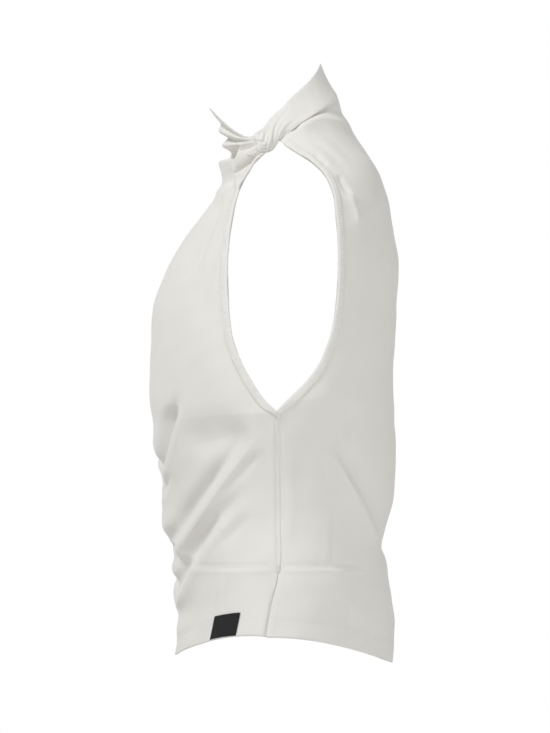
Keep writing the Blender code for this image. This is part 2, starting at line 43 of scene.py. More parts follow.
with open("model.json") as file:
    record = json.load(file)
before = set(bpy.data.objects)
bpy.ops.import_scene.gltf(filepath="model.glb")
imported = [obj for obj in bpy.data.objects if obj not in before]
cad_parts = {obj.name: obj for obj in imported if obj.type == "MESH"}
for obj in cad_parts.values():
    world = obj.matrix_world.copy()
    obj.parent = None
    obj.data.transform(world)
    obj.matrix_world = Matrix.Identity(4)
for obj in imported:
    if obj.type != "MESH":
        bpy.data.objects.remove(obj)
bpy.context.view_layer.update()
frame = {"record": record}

import json
import math
from collections import namedtuple
from functools import lru_cache

import bpy
import numpy as np
from bpy.props import FloatProperty, FloatVectorProperty, PointerProperty
from mathutils import Vector

BODY = "root"
JERSEY, LABEL = (material["slot"] for material in frame["record"]["materials"])

LEAST = 1e-12  # a length under this counts as this, so that nothing is divided by nothing
TINY = 1e-6  # less than any step between two rows

# ---------------------------------------------------------------- panels' sizes
COLUMNS = 64  # grid columns from the centre of a panel to its edge
CROWDING = 1.2  # how much closer together the columns lie toward the edge, as the angle of a sine
HIDDEN_SHIFT = (0.004, -0.009)  # how far the folds on the wearer's right lie from the left ones, in y and z
HIDDEN_BLEND = 0.04  # distance from the centre line over which that shift comes in
DIP_BESIDE = 1.9  # how far a fold's trough lies from its crest, in left half-widths
PEAK_WIDTH = 0.7  # half-width of a crisp fold's peak, in those of its bell
FOLD_PIECES = 24  # straight pieces that a fold's line is measured along
FOLD_REACH = 3  # how far from its line a fold is still worked out, in its wider half-width
RIPPLE = 0.00022  # height of the cloth's slight unevenness
# Its three long waves: strength, radians to the metre in y, z and x, and phase.
RIPPLE_WAVES = ((1.0, 115, 72, 40, 0.0), (0.8, -160, 95, -30, 1.3), (0.6, 60, -210, 85, 0.4))
EVENING_ROUNDS = 6  # how often the way out is evened up the gathered rows
EVENING_FADE = 0.01  # cloth length over which that comes in above the middle of the strap
SEAM_POINTS = 60  # points along the row and the seam that are matched by length
HEM_STEP = 0.0015  # length over which the turned-up layer ends
HEM_LAYER = 0.8  # its thickness, in cloths
SLIT_HEM = 0.008  # the narrow hem down each slit
TUCK_INTO_BAND = 0.0008  # how far the back panel runs up inside the neckband

# ---------------------------------------------------------------- side seams' sizes
SEAM_ROLL = 0.0006  # how far the side edges roll in at the seam
SEAM_SOFT = 0.0028  # distance from the edge over which they do
SEAM_PRESS = 0.75  # share by which the cloth is pressed thinner there
SEAM_BELOW = 0.010  # how far the edges still lie pressed below the slit's top
SEAM_ABOVE = 0.006  # the same above the underarm
SEAM_FADE = 0.004  # cloth length over which that comes in at both ends
SEAM_HALF = 0.0021  # half width of the joined edges over a side seam
SEAM_RISE = 0.0010  # half their height
SEAM_LIFT = 0.0002  # how far out they lie
SEAM_DOWN = 0.002  # how far they run on below the slit's top
SEAM_SLIM = 0.2  # share of their size at both ends
SEAM_SLIMMING = 0.04  # share of their length over which they grow from that
SEAM_RINGS = 160
SEAM_AROUND = 16

# ---------------------------------------------------------------- neckband's sizes
BAND_AROUND = 96  # points round the neckband's section
LOBES = 6  # rolled folds round a twist
FLAT_BAND = 0.0018  # the neckband's section is flat up to this half thickness
ROUND_BAND = 0.0048  # and round from this one
FLAT_CORNERS = 0.6  # how much squarer the flat section's corners are, as a power
HOLLOW = 0.0018  # how far the flat band hollows between its edges
BACK_CORNER = 5.4  # where the back panel's corner lies along the neckband, counted in the neckband's rows
BACK_CORNER_POINTS = 50  # points along the seam up to that corner
PROBE_BAND = 0.02  # step for the neckband's direction, as a share of the way between two of its rows
BAND_GIRTH = 0.036  # cloth length round the band, for the knit
ROLLED = (3.2, 2.2)  # where the band's roll starts, and over how far it comes in, counted in rows
GATHERED = (2, 2)  # the same for the gathers beside it
ROLL_WRINKLE = 0.00045  # height of the wrinkles on the roll
FLAT_WRINKLE = 0.0001  # on the flat band
GATHER_WRINKLE = 0.0003  # and in the gathers
ROOT_RINGS = 12  # rings from a twist's end to the strap
ROOT_REACH = 0.085  # the twist dies out over this share of the strap's half width
ROOT_TOP = 0.001  # how far below the neckline that starts
ROOT_FOOT = 0.002  # how far above the foot of the lowest swag it ends
ROOT_LIFT = 0.0007  # how far off the strap its tucks lie there
ROOT_SWELL = 0.0034  # how much thicker they are at the neckline's side
ROOT_PLEATS = 0.25  # share of that which the pleats between them take away
ROOT_PLEAT_TURNS = 1.5  # pleats to a lobe
ROOT_AHEAD = 0.006  # how far the band's end runs on before it blends into them
ROOT_BLEND = 1.25  # how quickly it does

# ---------------------------------------------------------------- armhole bindings' sizes
BINDING_STEP = 0.0005  # distance between sections
BINDING_PROBE = 0.01  # step for the way in from the armhole's edge, as a share of the half width
BINDING_LIFT = 0.0002  # how far off the panel's cloth the binding lies
MITRE = 0.006  # how far from the underarm it is mitred
TICK = 0.003  # spacing of its pinches and of the threads across it
PINCH = 0.35  # depth of a pinch, in cloths
PINCH_VARIES = 0.3  # share by which the pinches differ
PINCH_WAVES = (190, 83)  # radians to the metre of the two waves that tell by how much
# The binding's section: the share of its width in from the edge (below zero: beyond it, in cloths), and the layer,
# where 1 lies on the panel's cloth and 2 a cloth further out, below zero inside the garment.
BINDING_SECTION = (
    [(1.0, 1.2), (0.97, 1.8), (0.8, 2.0), (0.6, 2.05), (0.4, 2.1), (0.2, 2.1), (0.05, 2.0), (-0.6, 1.5), (-1.0, 0.0)]
    + [(-0.6, -1.5), (0.05, -2.0), (0.3, -2.05), (0.7, -2.0), (0.97, -1.8), (1.0, -1.2)]
    + [(0.95, -1.0), (0.5, -1.0), (-0.2, -1.0), (-0.62, 0.0), (-0.2, 1.0), (0.5, 1.0), (0.95, 1.0)]
)
RUNG = (5, 2, 20)  # points of that section where a cross thread starts and ends, and one below it

# ---------------------------------------------------------------- hem label's sizes
LABEL_SPAN = (0.572, 0.764)  # share of the way from the centre front to the side seam, at the hem
LABEL_LEAN = 0.020  # how much further toward the side seam its upper edge lies
LABEL_WIDTH = 0.026
LABEL_GRID = (28, 34)  # points up it and across it
LABEL_FOOT = 0.0004  # how far its lower edge lies above the hem
LABEL_LIFT = 0.0007  # distance from the panel's face to the tape's middle
LABEL_BOW = 0.0002  # how far the tape bows out across
LABEL_BOW_TURN = 3  # the end of that bow, as the angle of a sine
LABEL_HALF = 0.0003  # half the tape's thickness

# ---------------------------------------------------------------- stitches' sizes
THREAD_PROFILE = (0.35, 0.9, 1.0, 0.9, 0.35)  # a stitch's thickness at each of its sections, as a share
THREAD_SIDES = 5
THREAD_SINK = 0.4  # how deep a stitch's ends lie in the cloth, in radii
STITCH_SHARES = (0.08, 0.92)  # where a stitch starts and ends within its length
WAY_PROBE = 0.01  # distance from which the way out of the cloth is read
HEM_POINTS = 300  # points along the hem's lines of stitches, and along a slit's
SLIT_POINTS = 60
HEM_REACH = 0.985  # share of the half width that the hem's lines reach
TWIN_NEEDLES = 0.0032  # distance between those lines
HEM_ARCH = 0.00012  # how far a stitch arches out of the cloth
SLIT_END = 0.002  # how far a slit's line stops short of its ends
TACK_BARS = 24  # threads of the tack that closes a slit's top
TACK_HEIGHT = 0.008
TACK_ABOVE = 0.4  # share of it above the slit's top
TACK_REACH = 0.012  # share of the half width from the edge to a bar's end
TACK_ARCH = 0.0007
RUNG_ARCH = 0.0002  # arch of the threads across the bindings
LABEL_STITCH = 0.0016  # length of the label's stitches
LABEL_INSET = 0.0012  # how far in from its edges they run
LABEL_STITCH_LIFT = 0.0011
LABEL_STITCH_FOOT = 0.002  # where its two side lines start above the hem
LABEL_LINE_POINTS = 12
LABEL_THREAD = 0.00012  # radius of its thread
LABEL_ARCH = 0.00008

# ---------------------------------------------------------------- finishes' sizes
LOOP_LEAN = 1.1  # how far a loop of the knit leans from its column's middle to its edge, in courses
LOOP_SHARE = 0.35  # share of the knit's height that comes from its loops, the rest from its columns
CRINKLE_STRETCH = (1.0, 0.55, 1.0)  # crinkles run down the cloth: their noise is stretched that way
MIX_SHARE, MIX_FIRST, MIX_SECOND, MIX_RESULT = 0, 6, 7, 2  # a Mix node's sockets for colours

# ---------------------------------------------------------------- stage's sizes
PHOTO = (550, 733)  # the photograph's frame
PIXEL = 0.001  # length that one pixel of the photograph spans
VIEW_CENTRE = (0.007, -0.2265)  # y and z at the middle of the photograph
CAMERA_DISTANCE = 3.0
FLOOR_HEIGHT = -0.80
FLOOR_HALF = 4.0
SIDE_LIGHT = (0.330, 0.328, 0.308)  # the surroundings' colour; behind the garment they are white
LAMP_COLOUR = (1.0, 1.015, 1.045)
LAMPS = [  # name, place, power and size
    ("key_light", (1.8, -2.4, 3.5), 126.0, 0.9),
    ("fill_light", (2.8, 2.4, 0.5), 36.0, 1.6),
]

# ---------------------------------------------------------------- rows and folds
# up: cloth length above the hem, along the centre line. steps: grid rows from this row to the next.
# y, z: the centre point. reach: how far the row runs straight across before it curves.
# ex, ey, ez: the side edge on the wearer's left. lx, ly, lz: the row's lead away from that edge.
Row = namedtuple("Row", "name steps up y z reach ex ey ez lx ly lz")

FRONT_ROWS = [
    Row("hem", 13, 0.000, -0.0925, -0.5140, 0.095, 0.1620, 0.0045, -0.4970, 0.000, -0.056, 0.0085),
    Row("hem_top", 13, 0.020, -0.0890, -0.4940, 0.093, 0.1586, 0.0060, -0.4770, 0.000, -0.056, 0.0085),
    Row("hip", 12, 0.040, -0.0878, -0.4740, 0.092, 0.1560, 0.0075, -0.4580, 0.000, -0.056, 0.004),
    Row("slit_tuck", 9, 0.058, -0.0925, -0.4560, 0.090, 0.1545, 0.0088, -0.4415, 0.000, -0.056, 0.003),
    Row("slit_top", 26, 0.072, -0.0955, -0.4400, 0.088, 0.1540, 0.0106, -0.4280, 0.000, -0.056, 0.003),
    Row("waist", 28, 0.117, -0.1000, -0.3960, 0.084, 0.1480, 0.0112, -0.3870, 0.000, -0.058, 0.000),
    Row("midriff", 24, 0.168, -0.1085, -0.3470, 0.086, 0.1510, 0.0105, -0.3370, 0.000, -0.062, 0.000),
    Row("under_bust", 16, 0.209, -0.1148, -0.3060, 0.090, 0.1590, 0.0102, -0.2990, 0.000, -0.065, -0.002),
    Row("underarm", 9, 0.236, -0.1150, -0.2800, 0.093, 0.1650, 0.0091, -0.2720, 0.000, -0.066, -0.003),
    Row("armhole_foot", 12, 0.250, -0.1175, -0.2660, 0.092, 0.1635, -0.0030, -0.2610, -0.005, -0.058, -0.002),
    Row("bust", 20, 0.271, -0.1180, -0.2450, 0.088, 0.1600, -0.0170, -0.2410, -0.010, -0.050, -0.002),
    Row("bust_top", 20, 0.311, -0.1165, -0.2050, 0.082, 0.1500, -0.0350, -0.2010, -0.020, -0.042, -0.002),
    Row("bust_break", 18, 0.351, -0.1140, -0.1650, 0.075, 0.1380, -0.0400, -0.1610, -0.024, -0.038, -0.002),
    Row("chest", 18, 0.385, -0.1010, -0.1330, 0.068, 0.1270, -0.0410, -0.1260, -0.024, -0.034, -0.003),
    Row("chest_mid", 18, 0.417, -0.0850, -0.1050, 0.060, 0.1150, -0.0380, -0.0920, -0.024, -0.030, -0.006),
    Row("chest_top", 14, 0.445, -0.0698, -0.0820, 0.052, 0.1030, -0.0330, -0.0630, -0.022, -0.025, -0.010),
    Row("strap", 10, 0.464, -0.0590, -0.0660, 0.046, 0.0940, -0.0270, -0.0450, -0.016, -0.019, -0.015),
    Row("strap_mid", 8, 0.477, -0.0528, -0.0570, 0.042, 0.0860, -0.0190, -0.0300, -0.010, -0.018, -0.019),
    Row("strap_top", 5, 0.486, -0.0500, -0.0510, 0.040, 0.0795, -0.0100, -0.0165, -0.003, -0.017, -0.024),
    Row("knot_foot", 5, 0.491, -0.0475, -0.0470, 0.039, 0.0716, -0.0014, -0.0110, 0.007, -0.0246, -0.0190),
    Row("swag_4_foot", 8, 0.495, -0.0462, -0.0430, 0.038, 0.0739, -0.0026, -0.0090, 0.006, -0.0268, -0.0160),
    Row("swag_4", 9, 0.505, -0.0470, -0.0330, 0.036, 0.0752, -0.0039, -0.0068, 0.005, -0.0290, -0.0100),
    Row("swag_4_crest", 8, 0.516, -0.0485, -0.0220, 0.034, 0.0758, -0.0054, -0.0044, 0.002, -0.0232, -0.0091),
    Row("hollow_3", 7, 0.526, -0.0380, -0.0185, 0.030, 0.0759, -0.0064, -0.0026, -0.004, -0.0141, -0.0088),
    Row("swag_3_foot", 8, 0.533, -0.0395, -0.0110, 0.031, 0.0756, -0.0073, -0.0011, -0.004, -0.0155, -0.0068),
    Row("swag_3", 7, 0.542, -0.0455, -0.0050, 0.033, 0.0753, -0.0082, 0.0003, -0.004, -0.0159, -0.0063),
    Row("hollow_2", 9, 0.550, -0.0395, 0.0015, 0.031, 0.0749, -0.0089, 0.0015, -0.004, -0.0159, -0.0062),
    Row("swag_2", 6, 0.562, -0.0490, 0.0095, 0.035, 0.0743, -0.0096, 0.0027, -0.004, -0.0159, -0.0071),
    Row("hollow_1", 7, 0.569, -0.0465, 0.0155, 0.035, 0.0737, -0.0102, 0.0037, -0.004, -0.0154, -0.0088),
    Row("swag_1", 8, 0.578, -0.0520, 0.0225, 0.037, 0.0727, -0.0108, 0.0046, -0.004, -0.0150, -0.0104),
    Row("neckline", 0, 0.589, -0.0580, 0.0320, 0.038, 0.0712, -0.0113, 0.0055, -0.004, -0.0147, -0.0120),
]

BACK_ROWS = [
    Row("hem", 13, 0.000, 0.1240, -0.5220, 0.095, 0.1660, -0.0015, -0.4970, 0.000, 0.064, 0.0015),
    Row("hem_top", 14, 0.020, 0.1255, -0.5020, 0.093, 0.1625, 0.0018, -0.4770, 0.000, 0.063, 0.0015),
    Row("hip", 14, 0.042, 0.1265, -0.4800, 0.092, 0.1593, 0.0055, -0.4580, 0.000, 0.061, 0.0015),
    Row("slit_tuck", 12, 0.0635, 0.1232, -0.4590, 0.090, 0.1562, 0.0098, -0.4415, 0.000, 0.060, 0.000),
    Row("slit_top", 24, 0.083, 0.1200, -0.4400, 0.088, 0.15345, 0.0104, -0.4280, 0.000, 0.060, 0.000),
    Row("waist", 28, 0.125, 0.1200, -0.3980, 0.084, 0.14745, 0.0102, -0.3870, 0.000, 0.060, 0.000),
    Row("midriff", 22, 0.179, 0.1260, -0.3450, 0.086, 0.15045, 0.0095, -0.3370, 0.000, 0.064, 0.000),
    Row("under_bust", 15, 0.218, 0.1275, -0.3060, 0.090, 0.15845, 0.0090, -0.2990, 0.000, 0.064, 0.000),
    Row("underarm", 8, 0.244, 0.1260, -0.2800, 0.093, 0.16445, 0.0081, -0.2720, 0.000, 0.064, 0.000),
    Row("armhole_foot", 13, 0.256, 0.1255, -0.2680, 0.092, 0.1640, 0.0190, -0.2610, -0.004, 0.058, 0.000),
    Row("shoulder_blade_low", 22, 0.278, 0.1245, -0.2460, 0.088, 0.1570, 0.0400, -0.2400, -0.010, 0.046, 0.000),
    Row("shoulder_blade", 22, 0.319, 0.1265, -0.2050, 0.082, 0.1460, 0.0610, -0.2020, -0.018, 0.036, 0.000),
    Row("back_mid", 20, 0.359, 0.1280, -0.1650, 0.075, 0.1370, 0.0690, -0.1600, -0.022, 0.034, 0.000),
    Row("back_peak", 20, 0.396, 0.1305, -0.1280, 0.070, 0.1300, 0.0710, -0.1200, -0.024, 0.034, 0.000),
    Row("back_upper", 20, 0.433, 0.1250, -0.0920, 0.064, 0.1220, 0.0690, -0.0800, -0.026, 0.032, 0.002),
    Row("shoulder_low", 16, 0.467, 0.1190, -0.0580, 0.058, 0.1120, 0.0650, -0.0520, -0.026, 0.030, 0.004),
    Row("shoulder", 18, 0.491, 0.1115, -0.0350, 0.052, 0.1030, 0.0580, -0.0360, -0.026, 0.028, 0.006),
    Row("shoulder_top", 20, 0.517, 0.0980, -0.0130, 0.046, 0.0930, 0.0450, -0.0230, -0.024, 0.024, 0.010),
    Row("nape_low", 18, 0.543, 0.0835, 0.0080, 0.040, 0.0820, 0.0290, -0.0125, -0.018, 0.020, 0.012),
    Row("nape", 16, 0.565, 0.0740, 0.0270, 0.036, 0.0740, 0.0190, -0.0065, -0.010, 0.018, 0.012),
    Row("neckband_seam", 0, 0.583, 0.0680, 0.0430, 0.032, 0.0690, 0.0130, -0.0010, -0.004, 0.016, 0.012),
]

# A fold starts at (y0, z0), bends past (y1, z1) and ends at (y2, z2) in the side view. rise: the height of its ridge,
# below zero for a trough. dip: depth of a trough along its left side. left, right: its half-widths, as seen from the
# wearer's left when travelling along it. fade: the share of its length over which each end dies out. crisp: from 0, a
# soft fold, to 1, one with an edge along its crest.
Fold = namedtuple("Fold", "name y0 z0 y1 z1 y2 z2 rise dip left right start_fade end_fade crisp")

FRONT_FOLDS = [
    Fold("bust_drag", -0.108, -0.355, -0.0925, -0.302, -0.080, -0.250, 0.0052, 0.0098, 0.0055, 0.010, 0.25, 0.35, 0.7),
    Fold("waist_drag", -0.098, -0.425, -0.054, -0.3565, -0.006, -0.290, 0.0052, 0.0062, 0.007, 0.009, 0.16, 0.45, 0.6),
    Fold("hip_drag", -0.094, -0.478, -0.072, -0.418, -0.010, -0.350, 0.0050, 0.0076, 0.007, 0.009, 0.20, 0.45, 0.6),
    Fold("bust_notch", -0.118, -0.338, -0.108, -0.345, -0.098, -0.350, -0.0044, 0, 0.010, 0.013, 0.1, 0.3, 0),
    Fold("waist_swell", -0.106, -0.402, -0.102, -0.389, -0.090, -0.366, 0.0046, 0, 0.013, 0.012, 0.1, 0.5, 0),
    Fold("hip_notch", -0.106, -0.418, -0.096, -0.419, -0.086, -0.414, -0.0052, 0, 0.010, 0.008, 0.1, 0.4, 0),
    Fold("hem_flare", -0.100, -0.484, -0.091, -0.489, -0.078, -0.494, 0.0028, 0, 0.013, 0.012, 0.1, 0.5, 0),
    Fold("bust_shadow", -0.088, -0.309, -0.055, -0.299, -0.014, -0.288, -0.0062, 0, 0.020, 0.015, 0.35, 0.35, 0.1),
    Fold("chest_drag", -0.114, -0.158, -0.0705, -0.0835, -0.040, -0.045, 0.0026, 0.001, 0.007, 0.010, 0.3, 0.2, 0.5),
    Fold("chest_pleat", -0.0830, -0.152, -0.0618, -0.0935, -0.043, -0.050, -0.0066, 0, 0.010, 0.0035, 0.4, 0.2, 0.7),
    Fold("strap_ridge", -0.027, -0.056, -0.036, -0.024, -0.024, -0.002, 0.0028, 0.0026, 0.004, 0.007, 0.2, 0.3, 0.7),
]

BACK_FOLDS = [
    Fold("waist_notch", 0.122, -0.412, 0.0920, -0.3340, 0.060, -0.294, -0.0064, 0, 0.009, 0.012, 0, 0.5, 0),
    Fold("waist_ridge", 0.112, -0.405, 0.0945, -0.3545, 0.050, -0.297, 0.0064, 0, 0.008, 0.008, 0.1, 0.4, 0.7),
    Fold("side_drag", 0.084, -0.255, 0.078, -0.280, 0.069, -0.305, -0.0015, 0, 0.008, 0.008, 0.4, 0.4, 0),
    Fold("nape_swag", 0.024, 0.010, 0.054, 0.032, 0.088, 0.008, 0.0032, 0.0016, 0.005, 0.010, 0.2, 0.4, 0.6),
]

# Smaller folds, and the soft lines left by folding and pressing.
FRONT_CREASES = [
    Fold("waist_under", -0.004, -0.308, -0.030, -0.336, -0.058, -0.368, -0.0018, 0, 0.005, 0.005, 0.3, 0.4, 0),
    Fold("waist_knee", -0.048, -0.366, -0.050, -0.379, -0.042, -0.393, 0.0012, 0, 0.003, 0.003, 0.3, 0.3, 0.5),
    Fold("hip_under", -0.013, -0.370, -0.034, -0.391, -0.056, -0.415, -0.0015, 0, 0.005, 0.005, 0.3, 0.4, 0),
    Fold("side_light", -0.090, -0.412, -0.078, -0.420, -0.066, -0.421, 0.0016, 0, 0.005, 0.006, 0.3, 0.5, 0),
    Fold("bust_edge", -0.098, -0.262, -0.106, -0.290, -0.108, -0.318, -0.0016, 0, 0.006, 0.006, 0.3, 0.3, 0),
    Fold("strap_second", -0.0345, -0.025, -0.032, -0.034, -0.028, -0.046, 0.0014, 0.0008, 0.0025, 0.003, 0.3, 0.4, 0.6),
    Fold("strap_hollow", -0.0365, -0.026, -0.036, -0.036, -0.034, -0.047, -0.0020, 0, 0.003, 0.003, 0.4, 0.4, 0),
    Fold("strap_pocket", -0.031, -0.004, -0.035, -0.011, -0.034, -0.021, -0.0028, 0, 0.0035, 0.0035, 0.3, 0.4, 0),
    Fold("strap_line", -0.0135, 0.004, -0.0125, -0.002, -0.0130, -0.008, -0.0006, 0, 0.0015, 0.0015, 0.3, 0.3, 0),
    Fold("fan_second", -0.070, -0.140, -0.052, -0.114, -0.041, -0.080, 0.0014, 0.0008, 0.005, 0.006, 0.4, 0.4, 0.6),
    Fold("fan_third", -0.064, -0.172, -0.046, -0.128, -0.037, -0.064, 0.0010, 0.0006, 0.004, 0.006, 0.4, 0.3, 0.5),
    Fold("fan_short", -0.042, -0.116, -0.044, -0.100, -0.046, -0.084, -0.0008, 0, 0.003, 0.003, 0.4, 0.4, 0),
    Fold("fan_inner", -0.037, -0.052, -0.044, -0.076, -0.050, -0.104, -0.0010, 0, 0.004, 0.005, 0.3, 0.5, 0),
    Fold("press_across", -0.092, -0.424, -0.040, -0.4305, 0.006, -0.4250, -0.0006, 0, 0.003, 0.003, 0.2, 0.1, 0),
    Fold("press_across_light", -0.092, -0.4285, -0.040, -0.435, 0.006, -0.4295, 0.0006, 0, 0.003, 0.003, 0.2, 0.1, 0.5),
    Fold("hip_line", -0.047, -0.424, -0.046, -0.450, -0.052, -0.476, 0.0007, 0.0004, 0.003, 0.004, 0.3, 0.4, 0.5),
    Fold("hem_line", -0.054, -0.435, -0.056, -0.455, -0.060, -0.472, -0.0005, 0, 0.003, 0.003, 0.3, 0.4, 0),
    Fold("seam_turning", 0.0040, -0.276, 0.0050, -0.350, 0.0055, -0.424, 0.0011, 0, 0.003, 0.003, 0.1, 0.1, 0),
]

BACK_CREASES = [
    Fold("waist_smudge", 0.056, -0.311, 0.064, -0.330, 0.070, -0.358, -0.0016, 0, 0.005, 0.005, 0.3, 0.4, 0),
    Fold("side_hollow", 0.024, -0.318, 0.034, -0.345, 0.040, -0.376, -0.0010, 0, 0.009, 0.008, 0.4, 0.4, 0),
    Fold("side_swell", 0.022, -0.300, 0.024, -0.350, 0.022, -0.420, 0.0008, 0, 0.005, 0.005, 0.3, 0.3, 0),
    Fold("edge_swell", 0.118, -0.330, 0.120, -0.352, 0.114, -0.378, 0.0014, 0, 0.006, 0.006, 0.4, 0.4, 0),
    Fold("press_across", 0.012, -0.4255, 0.055, -0.4275, 0.099, -0.4245, -0.0006, 0, 0.003, 0.003, 0.1, 0.2, 0),
    Fold("press_across_light", 0.012, -0.430, 0.055, -0.432, 0.099, -0.429, 0.0006, 0, 0.003, 0.003, 0.1, 0.2, 0.5),
    Fold("press_down", 0.068, -0.347, 0.062, -0.379, 0.063, -0.424, -0.0008, 0, 0.003, 0.003, 0.3, 0.1, 0),
    Fold("press_down_light", 0.0645, -0.365, 0.0585, -0.385, 0.0595, -0.422, 0.0008, 0, 0.003, 0.003, 0.3, 0.1, 0.5),
    Fold("press_smile", 0.066, -0.420, 0.077, -0.431, 0.086, -0.418, -0.0009, 0, 0.003, 0.003, 0.3, 0.3, 0),
    Fold("side_line", 0.082, -0.260, 0.072, -0.280, 0.070, -0.300, 0.0008, 0.0005, 0.004, 0.005, 0.4, 0.4, 0.5),
    Fold("side_long", 0.093, -0.230, 0.086, -0.265, 0.079, -0.299, -0.0006, 0, 0.004, 0.004, 0.4, 0.4, 0),
    Fold("hem_drag", 0.064, -0.440, 0.081, -0.465, 0.098, -0.485, 0.0010, 0, 0.004, 0.005, 0.3, 0.4, 0.5),
    Fold("hem_line", 0.079, -0.455, 0.081, -0.480, 0.084, -0.500, -0.0007, 0, 0.004, 0.004, 0.3, 0.3, 0),
    Fold("nape_slit", 0.020, 0.009, 0.036, 0.020, 0.070, 0.040, -0.0032, 0, 0.003, 0.003, 0.2, 0.2, 0),
    Fold("arm_tuck", 0.075, -0.046, 0.090, -0.066, 0.089, -0.094, 0.0030, 0, 0.006, 0.004, 0.3, 0.3, 0.7),
    Fold("arm_slit_high", 0.044, -0.014, 0.053, -0.021, 0.060, -0.027, -0.0020, 0, 0.0025, 0.0025, 0.3, 0.3, 0),
    Fold("arm_slit_low", 0.068, -0.034, 0.076, -0.045, 0.083, -0.058, -0.0028, 0, 0.0025, 0.0025, 0.3, 0.3, 0),
    Fold("shoulder_high", 0.034, 0.006, 0.062, -0.002, 0.088, -0.034, 0.0009, 0.0006, 0.004, 0.005, 0.3, 0.5, 0.4),
    Fold("shoulder_mid", 0.030, 0.000, 0.056, -0.012, 0.084, -0.052, 0.0009, 0.0006, 0.004, 0.005, 0.3, 0.5, 0.4),
    Fold("shoulder_low", 0.026, -0.006, 0.048, -0.022, 0.074, -0.044, 0.0008, 0, 0.003, 0.004, 0.3, 0.4, 0.4),
    Fold("back_soft", 0.100, -0.060, 0.106, -0.105, 0.104, -0.150, -0.0008, 0, 0.007, 0.008, 0.4, 0.4, 0),
]

# Creases too fine for the panels' grids, drawn by the cloth's material as bumps; a crease that rises also has its crest
# painted lighter, a painted highlight. Each runs from (y0, z0) to (y1, z1) in the side view. bow: how far its middle
# lies
# to the left of the straight line, as seen from the wearer's left. width: the distance over which it falls off. height:
# in thousandths of a metre. fade: how quickly its ends come in.
Crease = namedtuple("Crease", "name y0 z0 y1 z1 bow width height fade")

CREASE_LINES = [
    Crease("bust_drag", -0.104, -0.340, -0.080, -0.246, -0.0012, 0.0011, 0.42, 8),
    Crease("waist_drag", -0.092, -0.416, -0.004, -0.290, 0.0028, 0.0012, 0.50, 6),
    Crease("hip_drag", -0.089, -0.466, -0.010, -0.350, 0.0060, 0.0013, 0.42, 6),
    Crease("waist_back", 0.111, -0.404, 0.062, -0.304, -0.0015, 0.0011, 0.75, 8),
    Crease("press_front", -0.093, -0.4285, 0.001, -0.4275, 0.0010, 0.0010, 0.22, 12),
    Crease("press_front_shade", -0.093, -0.4255, 0.001, -0.4245, 0.0010, 0.0009, -0.26, 12),
    Crease("press_back", 0.012, -0.4325, 0.112, -0.4330, 0.0020, 0.0010, 0.20, 12),
    Crease("press_back_shade", 0.012, -0.4300, 0.112, -0.4305, 0.0020, 0.0009, -0.24, 12),
    Crease("press_down", 0.061, -0.380, 0.064, -0.427, -0.0012, 0.0010, 0.60, 8),
    Crease("press_down_shade", 0.0585, -0.374, 0.0615, -0.427, -0.0012, 0.0008, -0.28, 8),
    Crease("press_smile", 0.063, -0.425, 0.087, -0.428, -0.0030, 0.0009, -0.34, 8),
    Crease("knee", -0.048, -0.366, -0.044, -0.392, -0.0040, 0.0010, 0.36, 8),
    Crease("hem_rise", -0.045, -0.427, -0.058, -0.468, 0.0010, 0.0012, 0.28, 6),
    Crease("back_hem_drag", 0.064, -0.434, 0.104, -0.484, -0.0010, 0.0014, 0.24, 6),
    Crease("back_hem_down", 0.079, -0.450, 0.084, -0.500, 0.0000, 0.0010, -0.20, 8),
    Crease("chest_drag", -0.112, -0.156, -0.040, -0.046, 0.0030, 0.0012, 0.34, 6),
    Crease("chest_pleat", -0.0820, -0.150, -0.043, -0.050, 0.0010, 0.0012, -0.36, 8),
    Crease("chest_second", -0.072, -0.142, -0.043, -0.096, 0.0010, 0.0012, 0.26, 6),
    Crease("side_line", 0.078, -0.278, 0.066, -0.308, -0.0010, 0.0009, -0.30, 8),
    Crease("side_line_long", 0.094, -0.228, 0.078, -0.300, -0.0020, 0.0009, -0.20, 6),
    Crease("side_line_light", 0.083, -0.262, 0.070, -0.300, 0.0000, 0.0012, 0.20, 6),
]

# The neckband's left half, from the centre back to the front end of the twist. x, y, z: the middle of the band.
# wx, wy, wz: from there to its upper edge. thick: half its thickness. lobes: depth of the grooves between the rolled
# folds, as a share. turn: how far the roll has turned, in degrees. steps: sections to the next row.
BandRow = namedtuple("BandRow", "name steps x y z wx wy wz thick lobes turn")
BandFrame = namedtuple("BandFrame", "middle run up out values")

BAND_ROWS = [
    BandRow("centre_back", 10, 0.0000, 0.0603, 0.0606, 0.0000, -0.0082, 0.0155, 0.0011, 0.00, 0),
    BandRow("back", 10, 0.0260, 0.0560, 0.0540, -0.0015, -0.0072, 0.0150, 0.0012, 0.00, 0),
    BandRow("back_side", 10, 0.0430, 0.0465, 0.0440, -0.0030, -0.0074, 0.0130, 0.0016, 0.00, 0),
    BandRow("side", 10, 0.0550, 0.0325, 0.0325, -0.0040, -0.0085, 0.0110, 0.0022, 0.04, 0),
    BandRow("gather", 14, 0.0615, 0.0205, 0.0220, -0.0045, -0.0080, 0.0095, 0.0036, 0.12, 8),
    BandRow("twist_back", 14, 0.0650, 0.0085, 0.0120, -0.0035, -0.0070, 0.0082, 0.0054, 0.20, 36),
    BandRow("twist", 12, 0.0675, 0.0010, 0.0025, -0.0020, -0.0074, 0.0088, 0.0066, 0.22, 66),
    BandRow("twist_front", 10, 0.0688, -0.0028, -0.0008, -0.0010, -0.0066, 0.0096, 0.0070, 0.18, 84),
    BandRow("twist_lip", 0, 0.0697, -0.0058, -0.0025, -0.0005, -0.0058, 0.0096, 0.0070, 0.10, 96),
]


